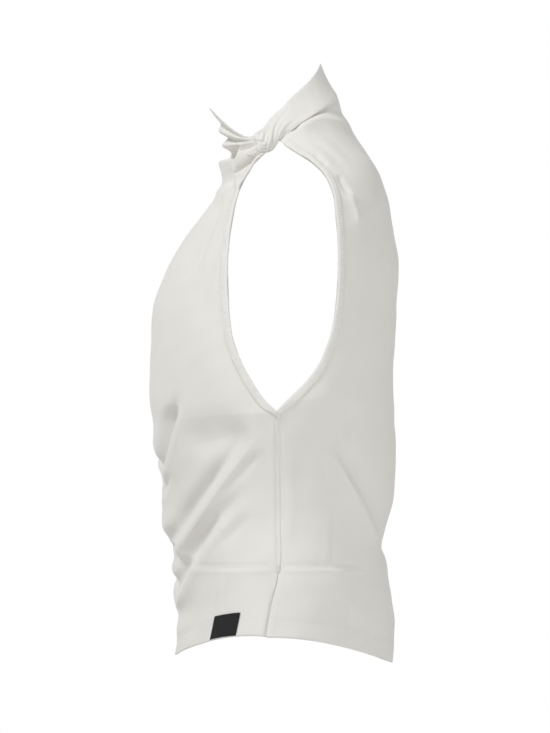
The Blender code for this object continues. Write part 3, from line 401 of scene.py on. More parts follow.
# ---------------------------------------------------------------- curves and directions
def smooth_through(knots, values, at, corner=None):
    """A smooth curve through values at knots: cubic pieces whose slope at a knot is that of the parabola
    through it and its two neighbours. At the knot numbered corner the curve may turn sharply."""
    knots, values, at = (np.asarray(part, float) for part in (knots, values, at))
    if corner is not None:
        low = smooth_through(knots[: corner + 1], values[: corner + 1], at)
        high = smooth_through(knots[corner:], values[corner:], at)
        return np.where(at <= knots[corner], low, high)
    gap = np.diff(knots)
    step = np.diff(values) / gap
    slope = np.empty_like(values)
    slope[0], slope[-1] = step[0], step[-1]
    slope[1:-1] = (gap[1:] * step[:-1] + gap[:-1] * step[1:]) / (gap[1:] + gap[:-1])
    i = np.clip(np.searchsorted(knots, at, side="right") - 1, 0, len(gap) - 1)
    t = np.clip((at - knots[i]) / gap[i], 0, 1)
    bend = gap[i] * (t * (1 - t) ** 2 * slope[i] - t * t * (1 - t) * slope[i + 1])
    return values[i] + t * t * (3 - 2 * t) * (values[i + 1] - values[i]) + bend


def ease(t):
    """0 to 1, level at both ends: 3 t squared less 2 t cubed."""
    t = np.clip(t, 0, 1)
    return t * t * (3 - 2 * t)


def unit(vectors):
    """Vectors divided by their lengths."""
    return vectors / np.maximum(np.linalg.norm(vectors, axis=-1, keepdims=True), LEAST)


def column(rows, field):
    """One named column of a table."""
    return [getattr(row, field) for row in rows]


def lengths(points):
    """The length along a line of points, up to each."""
    return np.concatenate([[0], np.cumsum(np.linalg.norm(np.diff(points, axis=0), axis=1))])


def knots_between(knots, steps):
    """The knots, and steps - 1 more spaced evenly between each pair."""
    parts = [np.linspace(a, b, n, endpoint=False) for a, b, n in zip(knots, knots[1:], steps)]
    return np.append(np.concatenate(parts), knots[-1])


def way_out(points, side):
    """The unit direction square to a grid of points: the cross product of its steps across and up."""
    up, across = np.gradient(points, axis=0), np.gradient(points, axis=1)
    return unit(np.cross(across, up)) * side


def fold_height(fold, y, z):
    """How far a fold pushes the cloth at side-view points: across its line a bell, mixed by its crisp share with a
    peak whose two sides meet in an edge, and a trough beside it."""
    t = np.linspace(0, 1, FOLD_PIECES + 1)[:, None]
    ends = np.array([[fold.y0, fold.z0], [fold.y1, fold.z1], [fold.y2, fold.z2]])
    line = ends[0] * (1 - t) ** 2 + 2 * ends[1] * t * (1 - t) + ends[2] * t * t
    reach = FOLD_REACH * max(fold.left, fold.right) + (DIP_BESIDE * fold.left if fold.dip else 0)
    low, high = line.min(0) - reach, line.max(0) + reach
    near = (y > low[0]) & (y < high[0]) & (z > low[1]) & (z < high[1])
    height = np.zeros_like(y)
    if not near.any():
        return height
    start, run = line[:-1], np.diff(line, axis=0)
    offset = np.stack([y[near], z[near]], axis=-1)[:, None, :] - start
    share = np.clip((offset * run).sum(-1) / (run * run).sum(-1), 0, 1)
    distance = np.linalg.norm(offset - share[..., None] * run, axis=-1)
    turn = run[:, 0] * offset[..., 1] - run[:, 1] * offset[..., 0]
    nearest = distance.argmin(-1)[:, None]
    distance, share, turn = (np.take_along_axis(part, nearest, -1)[:, 0] for part in (distance, share, turn))
    along = (nearest[:, 0] + share) / len(run)
    width = np.where(turn > 0, fold.left, fold.right)
    beside = np.where(turn > 0, distance, -distance) - DIP_BESIDE * fold.left
    bell, peak = np.exp(-((distance / width) ** 2)), np.exp(-distance / (PEAK_WIDTH * width))
    push = fold.rise * (bell + (peak - bell) * fold.crisp)
    push = push - fold.dip * np.exp(-((beside / fold.left) ** 2))
    if fold.start_fade:
        push = push * ease(along / fold.start_fade)
    if fold.end_fade:
        push = push * ease((1 - along) / fold.end_fade)
    height[near] = push
    return height


# ---------------------------------------------------------------- panels
class Sheet:
    """A panel worked out on a fine grid: up is the cloth's length above the hem, and across is 0 at the centre
    and 1 at the wearer's left edge. middle is the cloth's middle, and out the way out of it."""

    def __init__(self, rows, folds, side, seam=None):
        self.rows, self.side, self.seam = rows, side, seam
        self.knots = column(rows, "up")
        self.corner = column(rows, "name").index("underarm")
        self.up = knots_between(self.knots, column(rows, "steps"))
        self.across = np.sin(np.linspace(-CROWDING, CROWDING, 2 * COLUMNS + 1)) / math.sin(CROWDING)
        base = self.base_point(*np.broadcast_arrays(self.up[:, None], self.across[None, :]))
        hidden = ease(-base[..., 0] / HIDDEN_BLEND)
        y, z = base[..., 1] + HIDDEN_SHIFT[0] * hidden, base[..., 2] + HIDDEN_SHIFT[1] * hidden
        height = sum(fold_height(fold, y, z) for fold in folds) + self.unevenness(base)
        self.sewn = self.sewn_edge(base)
        height = height - SEAM_ROLL * self.sewn
        self.middle = base + self.soft_way_out(base) * height[..., None]
        self.out = self.soft_way_out(self.middle)
        self.cloth = np.stack([self.widths(self.middle), np.repeat(self.up[:, None], len(self.across), 1)], -1)

    def knot(self, name):
        """The cloth length up to the row of that name."""
        return self.knots[column(self.rows, "name").index(name)]

    def value(self, field, up, corner=None):
        """A column of the rows' table at any cloth length."""
        return smooth_through(self.knots, column(self.rows, field), up, corner)

    def row_point(self, up, across):
        """A row as a cubic Bezier curve from its centre to its side edge."""
        t = np.abs(across)[..., None]
        zero = np.zeros_like(up)
        centre = np.stack([zero, self.value("y", up), self.value("z", up)], axis=-1)
        edge = np.stack([self.value(field, up, self.corner) for field in ("ex", "ey", "ez")], axis=-1)
        lead = np.stack([self.value(field, up, self.corner) for field in ("lx", "ly", "lz")], axis=-1)
        reach = np.stack([self.value("reach", up), zero, zero], axis=-1)
        inner = centre * (1 - t) ** 3 + 3 * (centre + reach) * t * (1 - t) ** 2
        return inner + 3 * (edge + lead) * t * t * (1 - t) + edge * t**3

    def seam_shift(self, across):
        """How far the last row moves to meet its seam, at matching shares of the two lengths."""
        t = np.linspace(0, 1, SEAM_POINTS)
        row = self.row_point(np.full_like(t, self.knots[-1]), t)
        row_length, seam_length = lengths(row), lengths(self.seam)
        share = np.interp(np.abs(across), t, row_length / row_length[-1])
        return np.stack(
            [
                np.interp(share * seam_length[-1], seam_length, self.seam[:, axis])
                - np.interp(np.abs(across), t, row[:, axis])
                for axis in range(3)
            ],
            axis=-1,
        )

    def base_point(self, up, across):
        """A point of the cloth before its folds, mirrored on the wearer's right, and drawn to its seam at the top."""
        point = self.row_point(up, across)
        if self.seam is not None:
            top, start = self.knots[-1], self.knot("shoulder")
            point = point + self.seam_shift(across) * ease((up - start) / (top - start))[..., None]
        return point * np.stack([np.sign(across), np.ones_like(up), np.ones_like(up)], axis=-1)

    def widths(self, points):
        """Each point's distance along its row from the centre, below zero on the wearer's right."""
        step = np.linalg.norm(np.diff(points, axis=1), axis=-1)
        run = np.concatenate([np.zeros((len(step), 1)), np.cumsum(step, axis=1)], axis=1)
        return run - run[:, COLUMNS : COLUMNS + 1]

    def sewn_edge(self, base):
        """1 at the side edges where the two panels are sewn together, falling off as a bell into the cloth."""
        run = np.abs(self.widths(base))
        from_edge = run[:, -1:] - run
        from_edge[:, :COLUMNS] = run[:, :1] - run[:, :COLUMNS]
        above_slit = ease((self.up - self.knot("slit_top") + SEAM_BELOW) / SEAM_FADE)
        below_arm = ease((self.knot("underarm") + SEAM_ABOVE - self.up) / SEAM_FADE)
        return (above_slit * below_arm)[:, None] * np.exp(-((from_edge / SEAM_SOFT) ** 2))

    def soft_way_out(self, points):
        """The way out, evened up the rows toward the side edges, where gathered rows lie close together: each time,
        the mean of a row's and its two neighbours', by the square of the share of the half width."""
        out = way_out(points, self.side)
        if self.seam is not None:
            return out
        gathered = ease((self.up - self.knot("strap_mid")) / EVENING_FADE)
        weight = (self.across**2)[None, :, None] * gathered[:, None, None]
        for _ in range(EVENING_ROUNDS):
            padded = np.concatenate([out[:1], out, out[-1:]])
            out = unit(out * (1 - weight) + (padded[:-2] + out + padded[2:]) / 3 * weight)
        return out

    def unevenness(self, base):
        """The cloth's slight ripple: three long waves at angles to each other."""
        x, y, z = (base[..., axis] for axis in range(3))
        waves = (high * np.sin(by_y * y + by_z * z + by_x * x + at) for high, by_y, by_z, by_x, at in RIPPLE_WAVES)
        return RIPPLE * sum(waves)

    def place(self, up, across, offset=0.0):
        """Points at any places on the cloth, offset out of it: the grid's four nearest points, shared by area."""
        up, across = np.broadcast_arrays(up, across)
        row = np.clip(np.searchsorted(self.up, up) - 1, 0, len(self.up) - 2)
        col = np.clip(np.searchsorted(self.across, across) - 1, 0, len(self.across) - 2)
        s = np.clip((up - self.up[row]) / (self.up[row + 1] - self.up[row]), 0, 1)[..., None]
        t = np.clip((across - self.across[col]) / (self.across[col + 1] - self.across[col]), 0, 1)[..., None]

        def share(grid):
            low = grid[row, col] * (1 - t) + grid[row, col + 1] * t
            return low * (1 - s) + (grid[row + 1, col] * (1 - t) + grid[row + 1, col + 1] * t) * s

        return share(self.middle) + unit(share(self.out)) * offset

    def half_width(self, up):
        """The length of a row from its centre to its edge."""
        return np.interp(up, self.up, self.cloth[:, -1, 0])


# ---------------------------------------------------------------- neckband
def band_values(at):
    """The neckband's columns at places along it, from minus the last row, at the wearer's right, to the
    last row."""
    last = len(BAND_ROWS) - 1
    knots = np.arange(-last, last + 1)
    values = {}
    for field in BandRow._fields[2:]:
        half = column(BAND_ROWS, field)
        sign = -1 if field in ("x", "wx", "turn") else 1
        values[field] = smooth_through(knots, [sign * value for value in half[:0:-1]] + half, at)
    return values


def band_frame(at):
    """The middle of the band, the way along it, its upward and outward directions, and its columns' values."""
    values = band_values(at)
    middle = np.stack([values[field] for field in ("x", "y", "z")], axis=-1)
    after, before = band_values(at + PROBE_BAND), band_values(at - PROBE_BAND)
    run = unit(np.stack([after[field] - before[field] for field in ("x", "y", "z")], axis=-1))
    up = unit(np.stack([values[field] for field in ("wx", "wy", "wz")], axis=-1))
    return BandFrame(middle, run, up, unit(np.cross(up, run)), values)


def band_rings(at, angle, swell=0.0):
    """Rings round the neckband: a flat doubled band that becomes a lobed roll. Each point lies out from the middle
    by the half width and half thickness, less the grooves between the lobes. The flat part is a little hollow."""
    band = band_frame(at)
    half = np.sqrt(sum(band.values[field] ** 2 for field in ("wx", "wy", "wz")))[:, None]
    thick = band.values["thick"][:, None]
    flat = 1 - ease((thick - FLAT_BAND) / (ROUND_BAND - FLAT_BAND))
    wave = np.abs(np.sin(LOBES / 2 * (angle - np.radians(band.values["turn"])[:, None])))
    groove = 1 - band.values["lobes"][:, None] * (1 - wave)
    along_up = np.cos(angle) * (half * groove + swell)
    along_out = np.sign(np.sin(angle)) * np.abs(np.sin(angle)) ** (1 - FLAT_CORNERS * flat) * (thick * groove + swell)
    along_out = along_out - HOLLOW * flat * np.sin(angle) ** 2
    upward, outward = along_up[..., None] * band.up[:, None], along_out[..., None] * band.out[:, None]
    return band.middle[:, None] + upward + outward


def band_seam(inside):
    """A line just inside the neckband's lower edge, from the centre back to the back panel's corner at the twist."""
    at = np.linspace(0, BACK_CORNER, BACK_CORNER_POINTS)
    lower_edge = band_rings(at, np.array([[math.pi]]))[:, 0]
    return lower_edge + band_frame(at).up * inside


# ---------------------------------------------------------------- meshes
def new_piece(name, points, faces, finish, cloth=None):
    """A piece with the points and faces given. cloth gives each point's place on the flat cloth, in metres."""
    mesh = bpy.data.meshes.new(name)
    mesh.from_pydata(points.reshape(-1, 3).tolist(), [], faces)
    if cloth is not None:
        corners = np.empty(len(mesh.loops), int)
        mesh.loops.foreach_get("vertex_index", corners)
        mesh.uv_layers.new(name="cloth").data.foreach_set("uv", cloth.reshape(-1, 2)[corners].ravel())
    mesh.materials.append(finish)
    mesh.shade_smooth()
    made = bpy.data.objects.new(name, mesh)
    bpy.context.scene.collection.objects.link(made)
    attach(made, BODY)
    return made


def grid_faces(rows, columns, closed=False):
    """Four-cornered faces over a grid of points, row by row. closed joins the last column to the first."""
    index = np.arange(rows * columns).reshape(rows, columns)
    if closed:
        index = np.concatenate([index, index[:, :1]], axis=1)
    return np.stack([index[:-1, :-1], index[:-1, 1:], index[1:, 1:], index[1:, :-1]], -1).reshape(-1, 4)


def shell(name, middle, out, above, below, side, finish, cloth):
    """A closed thin wall: the middle grid moved out by above and in by below, joined round its edges by a rim that
    stands out by half the wall."""
    rows, columns = middle.shape[:2]
    outer, inner = middle + out * above[..., None], middle - out * below[..., None]
    index = np.arange(rows * columns).reshape(rows, columns)
    rim = np.concatenate([index[0], index[1:, -1], index[-1, -2::-1], index[-2:0:-1, 0]])
    inward = np.concatenate([index[1], index[1:, -2], index[-2, -2::-1], index[-2:0:-1, 1]])
    flat_outer, flat_inner, cloth = outer.reshape(-1, 3), inner.reshape(-1, 3), cloth.reshape(-1, 2)
    centre = (flat_outer + flat_inner) / 2
    wall = np.linalg.norm(flat_outer[rim] - flat_inner[rim], axis=-1)[:, None]
    edge = centre[rim] + unit(centre[rim] - centre[inward]) * wall / 2
    points = np.concatenate([flat_outer, flat_inner, edge])
    count = rows * columns
    faces = grid_faces(rows, columns)
    turn = np.arange(len(rim))
    lip, after = 2 * count + turn, 2 * count + np.roll(turn, -1)
    here, there = rim, np.roll(rim, -1)
    faces = np.concatenate(
        [
            faces,
            faces[:, ::-1] + count,
            np.stack([there, here, lip, after], -1),
            np.stack([after, lip, count + here, count + there], -1),
        ]
    )
    if side < 0:
        faces = faces[:, ::-1]
    return new_piece(name, points, faces.tolist(), finish, np.concatenate([cloth, cloth, cloth[rim]]))


def tube(name, rings, finish, cloth):
    """A closed tube through rings of points, closed by a flat face at each end."""
    rows, around = rings.shape[:2]
    faces = grid_faces(rows, around, closed=True)[:, ::-1].tolist()
    faces += [list(range(around)), list(range((rows - 1) * around, rows * around))[::-1]]
    return new_piece(name, rings, faces, finish, cloth)


def threads(name, groups, radius, arch, finish):
    """One piece of the stitches in several groups of starts, ends and ways out. Each is a bar of sections from its
    start to its end, arched out of the cloth by a half sine and drawn in at both ends as THREAD_PROFILE says."""
    starts, ends, outs = (np.concatenate(part) for part in zip(*groups))
    sections = len(THREAD_PROFILE)
    t = np.linspace(0, 1, sections)[None, :, None]
    angle = np.linspace(0, 2 * math.pi, THREAD_SIDES, endpoint=False)
    run = unit(ends - starts)
    across = unit(np.cross(outs, run))
    up = np.cross(run, across)
    rise = arch * np.sin(math.pi * t) - radius * THREAD_SINK
    line = starts[:, None] * (1 - t) + ends[:, None] * t + outs[:, None] * rise
    width = radius * np.array(THREAD_PROFILE)[None, :, None, None]
    ring = across[:, None, None] * np.cos(angle)[:, None] + up[:, None, None] * np.sin(angle)[:, None]
    points = line[:, :, None] + ring * width
    corners = sections * THREAD_SIDES
    first = (np.arange(len(starts)) * corners)[:, None, None]
    end = np.arange(THREAD_SIDES)
    caps = np.stack([end[::-1], end + corners - THREAD_SIDES])
    faces = (grid_faces(sections, THREAD_SIDES, closed=True) + first).reshape(-1, 4).tolist()
    faces += (caps + first).reshape(-1, THREAD_SIDES).tolist()
    new_piece(name, points, faces, finish)


# ---------------------------------------------------------------- materials
class Shade:
    """A number, vector or colour in a material. Arithmetic on it adds Math nodes."""

    def __init__(self, nodes, node, output=0):
        self.nodes, self.node, self.socket = nodes, node, node.outputs[output]

    def __getitem__(self, output):
        """Another output of the same node."""
        return Shade(self.nodes, self.node, output)

    def math(self, operation, *values):
        """A Math node on these values, or on this one."""
        return self.nodes.node("ShaderNodeMath", {"operation": operation}, values or [self])

    def __add__(self, other):
        return self.math("ADD", self, other)

    def __radd__(self, other):
        return self.math("ADD", other, self)

    def __sub__(self, other):
        return self.math("SUBTRACT", self, other)

    def __rsub__(self, other):
        return self.math("SUBTRACT", other, self)

    def __mul__(self, other):
        return self.math("MULTIPLY", self, other)

    def __rmul__(self, other):
        return self.math("MULTIPLY", other, self)

    def __truediv__(self, other):
        return self.math("DIVIDE", self, other)

    def __pow__(self, other):
        return self.math("POWER", self, other)

    def __abs__(self):
        return self.math("ABSOLUTE", self)

    def wave(self):
        """0 to 1 and back: a half and half a sine, once round for each step of 1."""
        return (self * (2 * math.pi)).math("SINE") * 0.5 + 0.5


class Nodes:
    """The nodes of a material or of the surroundings."""

    def __init__(self, tree):
        self.tree = tree
        tree.nodes.clear()

    def node(self, kind, settings=None, sockets=(), output=0):
        """Adds a node: its settings, then values or links for its sockets, by name or in order."""
        made = self.tree.nodes.new(kind)
        for name, value in (settings or {}).items():
            setattr(made, name, value)
        for key, value in sockets.items() if isinstance(sockets, dict) else enumerate(sockets):
            self.set(made.inputs[key], value)
        return None if output is None else Shade(self, made, output)

    def set(self, socket, value):
        """Links a shade to a socket, or gives it a plain value."""
        if isinstance(value, Shade):
            self.tree.links.new(value.socket, socket)
        else:
            socket.default_value = value

    def mix(self, share, first, second):
        """A colour between two."""
        sockets = {MIX_SHARE: share, MIX_FIRST: first, MIX_SECOND: second}
        return self.node("ShaderNodeMix", {"data_type": "RGBA"}, sockets)[MIX_RESULT]


class Finish(Nodes):
    """A material and its nodes, with one Principled shader."""

    def __init__(self, name, constants=()):
        self.material = bpy.data.materials.new(name)
        self.material.use_nodes = True
        super().__init__(self.material.node_tree)
        self.shader = self.node("ShaderNodeBsdfPrincipled", {}, constants)
        self.node("ShaderNodeOutputMaterial", {}, {"Surface": self.shader}, output=None)

    def wear(self, **links):
        """Feeds the shader's sockets, named with _ for a space."""
        for name, value in links.items():
            self.set(self.shader.node.inputs[name.replace("_", " ")], value)

    def on_cloth(self, scale):
        """Places on the flat cloth, scaled."""
        where = self.node("ShaderNodeUVMap", {"uv_map": "cloth"})
        return self.node("ShaderNodeVectorMath", {"operation": "MULTIPLY"}, [where, scale])

    def in_space(self):
        """Places in space, in metres."""
        return self.node("ShaderNodeTexCoord")["Object"]

    def noise(self, where, scale, detail, roughness):
        """Smooth noise from 0 to 1."""
        sockets = {"Vector": where, "Scale": scale, "Detail": detail, "Roughness": roughness}
        return self.node("ShaderNodeTexNoise", {"noise_dimensions": "3D"}, sockets)

    def bump(self, height, distance, strength):
        """A normal from a height that counts in lengths of distance."""
        return self.node("ShaderNodeBump", {}, {"Strength": strength, "Distance": distance, "Height": height})


def colour(rgb, factor=1.0):
    """A colour made lighter or darker by a factor."""
    return (rgb[0] * factor, rgb[1] * factor, rgb[2] * factor, 1.0)


def crease_lines(finish):
    """Fine creases drawn in the side view: each a peak that falls off as the exponent of the distance from its line,
    which bows as a parabola, and that dies out toward its ends."""
    spot = finish.node("ShaderNodeSeparateXYZ", {}, [finish.in_space()])
    hidden = spot["X"].math("LESS_THAN", spot["X"], 0.0)
    y, z = spot["Y"] + hidden * HIDDEN_SHIFT[0], spot["Z"] + hidden * HIDDEN_SHIFT[1]
    total = 0.0
    for line in CREASE_LINES:
        across, rise = line.y1 - line.y0, line.z1 - line.z0
        length = math.hypot(across, rise)
        from_y, from_z = y - line.y0, z - line.z0
        along = (from_y * across + from_z * rise) / length**2
        arch = along * (1 - along)
        beside = (from_z * across - from_y * rise) / length - arch * (4 * line.bow)
        peak = (abs(beside) * (-1 / line.width)).math("EXPONENT")
        fade = finish.node("ShaderNodeClamp", {}, [arch * line.fade, 0.0, 1.0])
        total = total + peak * fade * line.height
    return total


def jersey_finish(name, rgb, wale, course, crinkle):
    """Fine knit: columns of V-shaped loops, each a sine up the cloth that leans with its distance from the column's
    middle, and slight crinkles. The hollows between loops and in the crinkles are painted a little darker, a painted
    shade, and the crests of the fine creases a little lighter, a painted highlight."""
    finish = Finish(name, {"Sheen Weight": 0.25, "Sheen Roughness": 0.5, "Specular IOR Level": 0.25})
    flat = finish.node("ShaderNodeSeparateXYZ", {}, [finish.on_cloth((1 / wale, 1 / course, 1.0))])
    from_middle = abs(flat["X"].math("FRACT") - 0.5)
    loops = (flat["Y"] + from_middle * LOOP_LEAN).wave()
    column_round = 1 - from_middle * from_middle * 4
    knit = loops * LOOP_SHARE + column_round * (1 - LOOP_SHARE)
    mottle = finish.noise(finish.in_space(), scale=38.0, detail=4.0, roughness=0.6)
    fuzz = finish.noise(finish.in_space(), scale=900.0, detail=2.0, roughness=0.6)
    creased = finish.noise(finish.on_cloth(CRINKLE_STRETCH), scale=55.0, detail=3.0, roughness=0.55)
    lines = crease_lines(finish)
    # The shares add up to 0.2, and together they give the cloth's tone from its darkest to its lightest. The mottle and
    # fuzz vary at random; the knit and the crinkles are painted darker where they are low, a painted shade in their
    # hollows.
    shade = (knit * 0.05 + mottle * 0.06 + fuzz * 0.04 + creased * 0.05) / 0.2
    tone = finish.mix(shade, colour(rgb, 0.955), colour(rgb, 1.03))
    # Painted highlight: the crests of the fine creases are painted up to 0.16 of the way toward a lighter copy of the
    # cloth's colour.
    tone = finish.mix(lines * 0.16, tone, colour(rgb, 1.12))
    height = knit * 0.05 + fuzz * 0.03 + creased * crinkle + lines
    bump = finish.bump(height, distance=0.001, strength=0.6)
    finish.wear(Base_Color=tone, Roughness=0.84 + mottle * 0.1, Normal=bump)


def tape_finish(name, rgb, thread):
    """Woven tape: fine twill lines up and to the right, over picks at twice their pitch. Its colour follows the weave,
    darker in the grooves and lighter on the ridges, a painted shade and highlight, mixed half and half with random
    lint.
    """
    finish = Finish(name, {"Sheen Weight": 0.05, "Specular IOR Level": 0.2})
    flat = finish.node("ShaderNodeSeparateXYZ", {}, [finish.on_cloth((1 / thread, 1 / thread, 1.0))])
    weave = (flat["X"] + flat["Y"]).wave() * 0.7 + (flat["Y"] * 2).wave() * 0.3
    lint = finish.noise(finish.in_space(), scale=420.0, detail=4.0, roughness=0.7)
    # Painted shade and highlight: the weave's grooves are painted darker and its ridges lighter; the lint varies at
    # random.
    tone = finish.mix(weave * 0.5 + lint * 0.5, colour(rgb, 0.6), colour(rgb, 1.9))
    bump = finish.bump(weave, distance=0.0001, strength=0.7)
    finish.wear(Base_Color=tone, Roughness=0.5 + lint * 0.25, Normal=bump)


def thread_finish(name, rgb):
    """Spun thread: fine noise along and round it."""
    finish = Finish(name)
    twist = finish.noise(finish.in_space(), scale=1400.0, detail=2.0, roughness=0.6)
    tone = finish.mix(twist, colour(rgb, 0.85), colour(rgb, 1.05))
    bump = finish.bump(twist, distance=0.00015, strength=0.6)
    finish.wear(Base_Color=tone, Roughness=0.5 + twist * 0.2, Normal=bump)


def plain_finish(name, rgb):
    """A matt painted floor with a little cloudiness."""
    finish = Finish(name, {"Roughness": 0.9})
    cloud = finish.noise(finish.in_space(), scale=1.5, detail=3.0, roughness=0.5)
    finish.wear(Base_Color=finish.mix(cloud, colour(rgb, 0.98), colour(rgb)))


# ---------------------------------------------------------------- the garment's two panels
@lru_cache
def front_sheet():
    """The front, its folds, and the side edges rolled in where they are sewn to the back."""
    return Sheet(FRONT_ROWS, FRONT_FOLDS + FRONT_CREASES, 1)


@lru_cache
def back_sheet():
    """The back, drawn up into the neckband along its top edge."""
    return Sheet(BACK_ROWS, BACK_FOLDS + BACK_CREASES, -1, band_seam(TUCK_INTO_BAND))


def finish_of(name):
    """The material of that name, made once. Knits are given by the width of a column and the height of a loop."""
    tones = bpy.context.scene.top_colours
    if name not in bpy.data.materials:
        if name == "jersey":
            jersey_finish(name, tones.cloth, 0.0008, 0.0007, 0.45)
        elif name == "rib":
            jersey_finish(name, tones.cloth, 0.0011, 0.0008, 0.25)
        elif name == "tape":
            tape_finish(name, tones.label, 0.0006)
        elif name == "thread":
            thread_finish(name, tones.thread)
        else:
            plain_finish(name, tones.floor)
    return bpy.data.materials[name]


def build_panel(name, sheet):
    """A panel as a closed shell: half the cloth each way from its middle, and the turned-up layer inside the hem,
    which ends in a soft step."""
    sizes = bpy.context.scene.top_sizes
    above = sizes.cloth / 2 * (1 - SEAM_PRESS * sheet.sewn)
    turned_up = 1 - ease((sheet.up - sizes.hem_depth) / HEM_STEP)
    below = above + (turned_up * sizes.cloth * HEM_LAYER)[:, None]
    made = shell(name, sheet.middle, sheet.out, above, below, sheet.side, finish_of("jersey"), sheet.cloth)
    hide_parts(name.replace("cloth", "panel"))


# ---------------------------------------------------------------- neckband and twists
def twist_root(front, angle, share, side):
    """A ring that lies on the strap's gathered end, share of ROOT_REACH in from its edge: round the strap's outer
    face between the knot's foot and the neckline, and as thick as the tucks that die out there."""
    top, foot = front.knot("neckline") - ROOT_TOP, front.knot("swag_4_foot") + ROOT_FOOT
    up = foot + (top - foot) * (np.cos(angle) + 1) / 2
    pleats = 1 - ROOT_PLEATS + ROOT_PLEATS * np.cos(LOBES * angle * ROOT_PLEAT_TURNS + 2 * share)
    lift = ROOT_LIFT + (np.sin(angle) + 1) / 2 * ROOT_SWELL * (1 - share) * pleats
    return front.place(up, np.full_like(up, side * (1 - ROOT_REACH * share)), lift[:, None])


def neckband_points():
    """Rings round the band, closed at each twist by rings that die out on the strap. Its finer wrinkles are sines of
    the angle round it and the place along it: two to a lobe on the roll, and fewer on the flat band and its gathers."""
    front = front_sheet()
    last = len(BAND_ROWS) - 1
    steps = column(BAND_ROWS, "steps")[:-1]
    at = knots_between(np.arange(-last, last + 1), steps[::-1] + steps)
    angle = np.linspace(0, 2 * math.pi, BAND_AROUND, endpoint=False)[None, :]
    rolled = ease((np.abs(at) - ROLLED[0]) / ROLLED[1])[:, None]
    gathered = ease((np.abs(at) - GATHERED[0]) / GATHERED[1])[:, None]
    turn = np.radians(band_values(at)["turn"])[:, None]
    wrinkles = ROLL_WRINKLE * rolled * np.sin(2 * LOBES * (angle - turn) + 0.6 * np.sin(3 * at)[:, None])
    wrinkles += FLAT_WRINKLE * np.sin(9 * at[:, None] + 2 * np.cos(angle)) * (1 - rolled)
    wrinkles += GATHER_WRINKLE * gathered * (1 - rolled) * np.sin(5 * angle + 4 * at[:, None])
    rings = band_rings(at, angle, wrinkles)
    run = band_frame(at[[0, -1]]).run
    share = np.linspace(0, 1, ROOT_RINGS + 1)[1:, None, None]
    ends = []
    for side, ring, way in ((-1, rings[0], -run[0]), (1, rings[-1], run[1])):
        root = np.array([twist_root(front, angle[0], s, side) for s in share[:, 0, 0]])
        blend = ease(share * ROOT_BLEND)
        ends.append((ring + way * share * ROOT_AHEAD) * (1 - blend) + root * blend)
    return np.concatenate([ends[0][::-1], rings, ends[1]])


# ---------------------------------------------------------------- armhole bindings
def armhole_line(sheet, top, side):
    """Places up the armhole's edge, BINDING_STEP apart, from the underarm to the row named top."""
    rows = (sheet.up >= sheet.knot("underarm") - TINY) & (sheet.up <= sheet.knot(top) + TINY)
    up, edge = sheet.up[rows], sheet.middle[rows, 0 if side < 0 else -1]
    run = lengths(edge)
    count = int(run[-1] / BINDING_STEP)
    return np.interp(np.linspace(0, run[-1], count + 1), run, up)


def binding_half(sheet, top, side, width, cloth):
    """Sections of the binding along one panel's armhole edge: over the edge, and the same distance down both faces.
    The way in is square to the edge, less so at the mitre, which is a bell round the underarm. Each pinch is a cosine
    along the edge, and two sines tell how deep it is."""
    up = armhole_line(sheet, top, side)
    edge = sheet.place(up, np.full_like(up, side))
    inner = sheet.place(up, np.full_like(up, side * (1 - BINDING_PROBE)))
    inward = (inner - edge) / BINDING_PROBE
    along = np.gradient(edge, up, axis=0)
    lean = (inward * along).sum(-1) / (along * along).sum(-1)
    share = width / np.linalg.norm(inward - lean[:, None] * along, axis=-1)
    mitre = np.exp(-(((up - sheet.knot("underarm")) / MITRE) ** 2))
    inner_up = up - (1 - mitre) * lean * share - mitre * width
    inner_across = side * (1 - (1 - mitre) * share)
    run = lengths(edge)
    pinch = 0.5 + 0.5 * np.cos(2 * math.pi * run / TICK)
    varied = np.sin(run * PINCH_WAVES[0] + 1) * np.sin(run * PINCH_WAVES[1])
    pinch = pinch * (1 - PINCH_VARIES + PINCH_VARIES * varied)
    half = cloth / 2 + BINDING_LIFT
    beyond_edge = unit(edge - inner) * cloth
    sections = []
    for distance, offset in BINDING_SECTION:
        reach = np.clip(distance, 0, 1)
        spot = up + (inner_up - up) * reach, side + (inner_across - side) * reach
        here = sheet.place(*spot)
        out = unit(sheet.place(*spot, WAY_PROBE) - here)
        lift = np.sign(offset) * (half + (abs(offset) - 1) * cloth * (1 - PINCH * pinch))
        sections.append(here + out * lift[:, None] + beyond_edge * max(-distance, 0))
    return np.stack(sections, axis=1), run


def build_binding(name, node, side):
    """A flattened tube round the armhole's edge, from the twist under the arm to the neckband, pinched at even
    steps by its seam."""
    sizes = bpy.context.scene.top_sizes
    front, front_run = binding_half(front_sheet(), "knot_foot", side, sizes.binding, sizes.cloth)
    back, back_run = binding_half(back_sheet(), "nape", side, sizes.binding, sizes.cloth)
    rings = np.concatenate([front[:0:-1], (front[:1] + back[:1]) / 2, back[1:]])
    run = np.concatenate([-front_run[:0:-1], [0], back_run[1:]])
    cloth = np.stack(np.broadcast_arrays(lengths(rings[0])[None, :], run[:, None]), -1)
    if side < 0:
        rings, cloth = rings[:, ::-1], cloth[:, ::-1]
    made = tube(name, rings, finish_of("rib"), cloth)
    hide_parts(node)
    2 * sizes.binding + 0.002


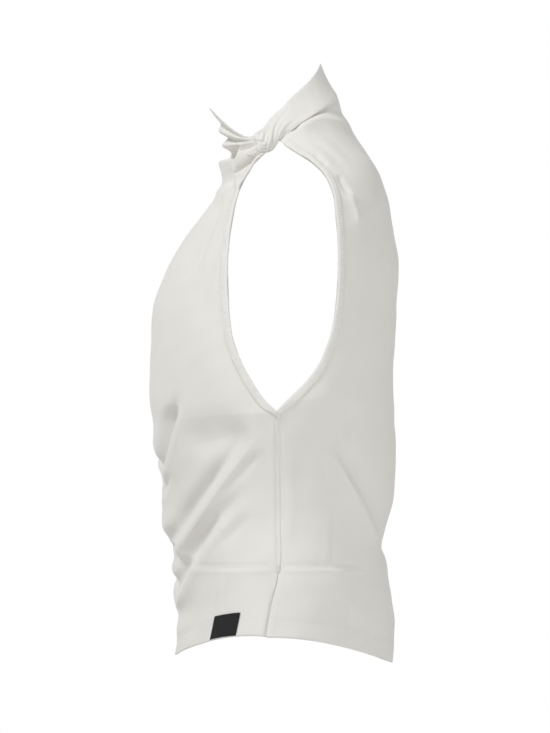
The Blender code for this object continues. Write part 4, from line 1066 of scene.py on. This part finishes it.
def build_side_seam(name, side):
    """The joined edges of the two panels: an ellipse of half width SEAM_HALF and half height SEAM_RISE, carried along
    the line midway between the panels' edges from the slit up to the underarm, and drawn in at both ends."""
    share = np.linspace(0, 1, SEAM_RINGS)
    edges = []
    for sheet in (front_sheet(), back_sheet()):
        low, high = sheet.knot("slit_top") - SEAM_DOWN, sheet.knot("underarm")
        edges.append(sheet.place(low + (high - low) * share, np.full(SEAM_RINGS, float(side))))
    middle = (edges[0] + edges[1]) / 2
    run = unit(np.gradient(middle, axis=0))
    out = np.zeros_like(middle) + (float(side), 0.0, 0.0)
    out = unit(out - (out * run).sum(-1)[:, None] * run)
    across = np.cross(out, run)
    angle = np.linspace(2 * math.pi, 0, SEAM_AROUND, endpoint=False)[None, :, None]
    slim = SEAM_SLIM + (1 - SEAM_SLIM) * ease(np.minimum(share, 1 - share) / SEAM_SLIMMING)[:, None, None]
    width, rise = SEAM_HALF * np.cos(angle) * slim, SEAM_RISE * np.sin(angle) * slim
    rings = middle[:, None] + across[:, None] * width + out[:, None] * (rise + SEAM_LIFT)
    cloth = np.stack(np.broadcast_arrays(angle[..., 0] * SEAM_HALF, lengths(middle)[:, None]), -1)
    tube(name, rings, finish_of("jersey"), cloth)


# ---------------------------------------------------------------- pieces
class TopSizes(bpy.types.PropertyGroup):
    """Driving sizes of the cloth pieces."""

    cloth: FloatProperty(name="Cloth", description="Thickness of one layer", default=0.0009, unit="LENGTH")
    hem_depth: FloatProperty(name="Hem", description="Depth of the turned-up hem", default=0.020, unit="LENGTH")
    binding: FloatProperty(name="Binding", description="Width of the armhole binding", default=0.007, unit="LENGTH")
    label_height: FloatProperty(name="Label", description="Height of the hem label", default=0.023, unit="LENGTH")
    stitch: FloatProperty(name="Stitch", description="Length of a hem stitch", default=0.0027, unit="LENGTH")
    thread: FloatProperty(name="Thread", description="Thickness of the thread", default=0.00032, unit="LENGTH")


class TopColours(bpy.types.PropertyGroup):
    """Colours of the cloth, thread and floor, linear."""

    cloth: FloatVectorProperty(name="Cloth", description="Jersey", subtype="COLOR", default=(0.83, 0.812, 0.77))
    label: FloatVectorProperty(name="Label", description="Hem label", subtype="COLOR", default=(0.012, 0.012, 0.013))
    thread: FloatVectorProperty(name="Thread", description="Sewing", subtype="COLOR", default=(0.80, 0.785, 0.74))
    floor: FloatVectorProperty(name="Floor", description="Studio floor", subtype="COLOR", default=(0.80, 0.80, 0.79))


class TOP_OT_front_panel(bpy.types.Operator):
    """Front panel"""

    bl_idname = "top.front_panel"
    bl_label = "Front panel"

    def execute(self, context):
        build_panel("front_cloth", front_sheet())
        return {"FINISHED"}


class TOP_OT_back_panel(bpy.types.Operator):
    """Back panel"""

    bl_idname = "top.back_panel"
    bl_label = "Back panel"

    def execute(self, context):
        build_panel("back_cloth", back_sheet())
        return {"FINISHED"}


class TOP_OT_neckband(bpy.types.Operator):
    """Neckband and the twists at its ends"""

    bl_idname = "top.neckband"
    bl_label = "Neckband"

    def execute(self, context):
        points = neckband_points()
        girth = np.linspace(0, BAND_GIRTH, BAND_AROUND)
        cloth = np.stack(np.broadcast_arrays(girth[None, :], lengths(points.mean(axis=1))[:, None]), -1)
        made = tube("neckband_cloth", points, finish_of("rib"), cloth)
        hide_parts("neckband")
        return {"FINISHED"}


class TOP_OT_armholes(bpy.types.Operator):
    """Armhole bindings"""

    bl_idname = "top.armholes"
    bl_label = "Armhole bindings"

    def execute(self, context):
        build_binding("armhole_rib_left", "armhole_binding_left", 1)
        build_binding("armhole_rib_right", "armhole_binding_right", -1)
        return {"FINISHED"}


class TOP_OT_hem_label(bpy.types.Operator):
    """Plain woven label over the hem"""

    bl_idname = "top.hem_label"
    bl_label = "Hem label"

    def execute(self, context):
        sizes, front = context.scene.top_sizes, front_sheet()
        rows, columns = LABEL_GRID
        up = np.linspace(LABEL_FOOT, sizes.label_height, rows)
        across = np.linspace(*LABEL_SPAN, columns)
        up, across = np.meshgrid(up, across, indexing="ij")
        cloth = np.stack([np.interp(across, LABEL_SPAN, [0, LABEL_WIDTH]), up], -1)
        across = across + LABEL_LEAN * up / sizes.label_height
        bow = LABEL_BOW * np.sin(np.linspace(0, LABEL_BOW_TURN, columns))
        lift = np.broadcast_to(sizes.cloth / 2 + LABEL_LIFT + bow, up.shape)
        middle = front.place(up, across, lift[..., None])
        above = np.full(up.shape, LABEL_HALF)
        made = shell("hem_label_tape", middle, way_out(middle, 1), above, above, 1, finish_of("tape"), cloth)
        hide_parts("hem_label")
        return {"FINISHED"}


def stitches_along(sheet, up, across, pitch, lift):
    """Starts, ends and ways out of stitches of that pitch along a path on a sheet."""
    run = lengths(sheet.place(up, across, lift))
    first = np.arange(int(run[-1] / pitch)) * pitch
    spots = [(np.interp(at, run, up), np.interp(at, run, across)) for at in (first + s * pitch for s in STITCH_SHARES)]
    starts, ends = (sheet.place(*spot, lift) for spot in spots)
    outs = unit(sheet.place(*spots[0], WAY_PROBE) - sheet.place(*spots[0]))
    return starts, ends, outs


class TOP_OT_hem_stitching(bpy.types.Operator):
    """Twin-needle stitching round the hem and one line down each edge of the slits"""

    bl_idname = "top.hem_stitching"
    bl_label = "Hem stitching"

    def execute(self, context):
        sizes = context.scene.top_sizes
        lift, groups = sizes.cloth / 2, []
        for sheet in (front_sheet(), back_sheet()):
            for depth in (sizes.hem_depth - TWIN_NEEDLES, sizes.hem_depth):
                across = np.linspace(-HEM_REACH, HEM_REACH, HEM_POINTS)
                groups.append(stitches_along(sheet, np.full(HEM_POINTS, depth), across, sizes.stitch, lift))
            up = np.linspace(SLIT_END, sheet.knot("slit_top") - SLIT_END, SLIT_POINTS)
            for side in (-1, 1):
                across = side * (1 - SLIT_HEM / sheet.half_width(up))
                groups.append(stitches_along(sheet, up, across, sizes.stitch, lift))
        threads("stitches_hem", groups, sizes.thread / 2, HEM_ARCH, finish_of("thread"))
        return {"FINISHED"}


class TOP_OT_side_seams(bpy.types.Operator):
    """The joined edges over the side seams"""

    bl_idname = "top.side_seams"
    bl_label = "Side seams"

    def execute(self, context):
        build_side_seam("side_seam_left", 1)
        build_side_seam("side_seam_right", -1)
        return {"FINISHED"}


class TOP_OT_slit_tacks(bpy.types.Operator):
    """Bar tacks over the tops of the slits, from the front panel to the back one"""

    bl_idname = "top.slit_tacks"
    bl_label = "Slit tacks"

    def execute(self, context):
        sizes, groups = context.scene.top_sizes, []
        below = TACK_HEIGHT * (np.linspace(0, 1, TACK_BARS) - TACK_ABOVE)
        for side in (-1, 1):
            across = np.full(TACK_BARS, side * (1 - TACK_REACH))
            starts, ends = (
                sheet.place(sheet.knot("slit_top") - below, across, sizes.cloth / 2)
                for sheet in (front_sheet(), back_sheet())
            )
            outs = np.zeros_like(starts) + (float(side), 0.0, 0.0)
            groups.append((starts, ends, outs))
        threads("stitches_slit_tack", groups, sizes.thread, TACK_ARCH, finish_of("thread"))
        return {"FINISHED"}


class TOP_OT_armhole_stitching(bpy.types.Operator):
    """The ladder of threads over the armhole bindings, one at each pinch"""

    bl_idname = "top.armhole_stitching"
    bl_label = "Armhole stitching"

    def execute(self, context):
        sizes, groups = context.scene.top_sizes, []
        for side in (-1, 1):
            for sheet, top in ((front_sheet(), "knot_foot"), (back_sheet(), "nape")):
                sections, run = binding_half(sheet, top, side, sizes.binding, sizes.cloth)
                rungs = np.searchsorted(run, np.arange(1, int(run[-1] / TICK)) * TICK)
                starts, ends, beneath = (sections[rungs, point] for point in RUNG)
                groups.append((starts, ends, unit(starts - beneath)))
        threads("stitches_armholes", groups, sizes.thread / 2, RUNG_ARCH, finish_of("thread"))
        return {"FINISHED"}


class TOP_OT_label_stitching(bpy.types.Operator):
    """Stitches along the label's upper edge and down both its sides"""

    bl_idname = "top.label_stitching"
    bl_label = "Label stitching"

    def execute(self, context):
        sizes, front = context.scene.top_sizes, front_sheet()
        lift = sizes.cloth / 2 + LABEL_STITCH_LIFT
        low, high = LABEL_SPAN
        rim = (high - low) * LABEL_INSET / LABEL_WIDTH
        line = np.linspace(0, 1, LABEL_LINE_POINTS)
        top = np.full(LABEL_LINE_POINTS, sizes.label_height - LABEL_INSET)
        across = LABEL_LEAN + low + rim + (high - low - 2 * rim) * line
        groups = [stitches_along(front, top, across, LABEL_STITCH, lift)]
        for edge in (low + rim, high - rim):
            up = LABEL_STITCH_FOOT + (top - LABEL_STITCH_FOOT) * line
            across = edge + LABEL_LEAN * up / sizes.label_height
            groups.append(stitches_along(front, up, across, LABEL_STITCH, lift))
        threads("stitches_label", groups, LABEL_THREAD, LABEL_ARCH, finish_of("tape"))
        return {"FINISHED"}


# ---------------------------------------------------------------- stage
def aim(made, place, target):
    """Puts an object at a place, with its -Z side toward the target."""
    made.location = place
    made.rotation_euler = (Vector(target) - Vector(place)).to_track_quat("-Z", "Y").to_euler()


def studio():
    """Soft surroundings of SIDE_LIGHT, mixed with white behind the garment: the share of white is the square of how
    far a direction points to -X."""
    world = bpy.data.worlds.new("studio")
    world.use_nodes = True
    nodes = Nodes(world.node_tree)
    way = nodes.node("ShaderNodeSeparateXYZ", {}, [nodes.node("ShaderNodeTexCoord")["Generated"]])
    behind = nodes.node("ShaderNodeMath", {"operation": "MULTIPLY", "use_clamp": True}, [way["X"], -1.0])
    tone = nodes.mix(behind**2.0, colour(SIDE_LIGHT), colour((1.0, 1.0, 1.0)))
    sky = nodes.node("ShaderNodeBackground", {}, {"Color": tone})
    nodes.node("ShaderNodeOutputWorld", {}, {"Surface": sky}, output=None)
    return world


class TOP_OT_stage(bpy.types.Operator):
    """Camera at the photograph's angle, studio light and pale floor"""

    bl_idname = "top.stage"
    bl_label = "Camera, light and floor"

    def execute(self, context):
        scene = context.scene
        camera = bpy.data.objects.new("camera", bpy.data.cameras.new("camera"))
        camera.data.type = "ORTHO"
        camera.data.ortho_scale = PHOTO[1] * PIXEL
        aim(camera, (CAMERA_DISTANCE, *VIEW_CENTRE), (0.0, *VIEW_CENTRE))
        scene.collection.objects.link(camera)
        scene.camera = camera
        for name, place, power, size in LAMPS:
            lamp = bpy.data.objects.new(name, bpy.data.lights.new(name, "AREA"))
            lamp.data.energy, lamp.data.size, lamp.data.color = power, size, LAMP_COLOUR
            aim(lamp, place, (0.0, *VIEW_CENTRE))
            scene.collection.objects.link(lamp)
        floor = bpy.data.meshes.new("floor")
        corners = np.array([[-1, -1], [1, -1], [1, 1], [-1, 1]]) * FLOOR_HALF
        floor.from_pydata([(x, y, FLOOR_HEIGHT) for x, y in corners.tolist()], [], [(0, 1, 2, 3)])
        floor.materials.append(finish_of("floor"))
        made = bpy.data.objects.new("floor", floor)
        scene.collection.objects.link(made)
        scene.world = studio()
        scene.view_settings.view_transform = "Standard"
        return {"FINISHED"}


PIECES = (
    TOP_OT_stage,
    TOP_OT_front_panel,
    TOP_OT_back_panel,
    TOP_OT_neckband,
    TOP_OT_armholes,
    TOP_OT_hem_label,
    TOP_OT_hem_stitching,
    TOP_OT_side_seams,
    TOP_OT_slit_tacks,
    TOP_OT_armhole_stitching,
    TOP_OT_label_stitching,
)
CLASSES = (TopSizes, TopColours, *PIECES)


class TOP_PT_pieces(bpy.types.Panel):
    """The garment's sizes, colours and pieces"""

    bl_label = "Sleeveless top"
    bl_idname = "TOP_PT_pieces"
    bl_space_type = "VIEW_3D"
    bl_region_type = "UI"
    bl_category = "Top"

    def draw(self, context):
        for group in (context.scene.top_sizes, context.scene.top_colours):
            box = self.layout.box()
            for name in group.__annotations__:
                box.prop(group, name)
        for piece in PIECES:
            self.layout.operator(piece.bl_idname)


def register():
    """Makes the sizes, the operators and the panel known to Blender."""
    for made in (*CLASSES, TOP_PT_pieces):
        bpy.utils.register_class(made)
    bpy.types.Scene.top_sizes = PointerProperty(type=TopSizes)
    bpy.types.Scene.top_colours = PointerProperty(type=TopColours)


def unregister():
    """Takes them out again, the last one first."""
    del bpy.types.Scene.top_colours
    del bpy.types.Scene.top_sizes
    for made in reversed((*CLASSES, TOP_PT_pieces)):
        bpy.utils.unregister_class(made)


def main():
    """Makes every piece."""
    register()
    for piece in PIECES:
        group, action = piece.bl_idname.split(".")
        getattr(getattr(bpy.ops, group), action)()


if __name__ == "__main__":
    main()
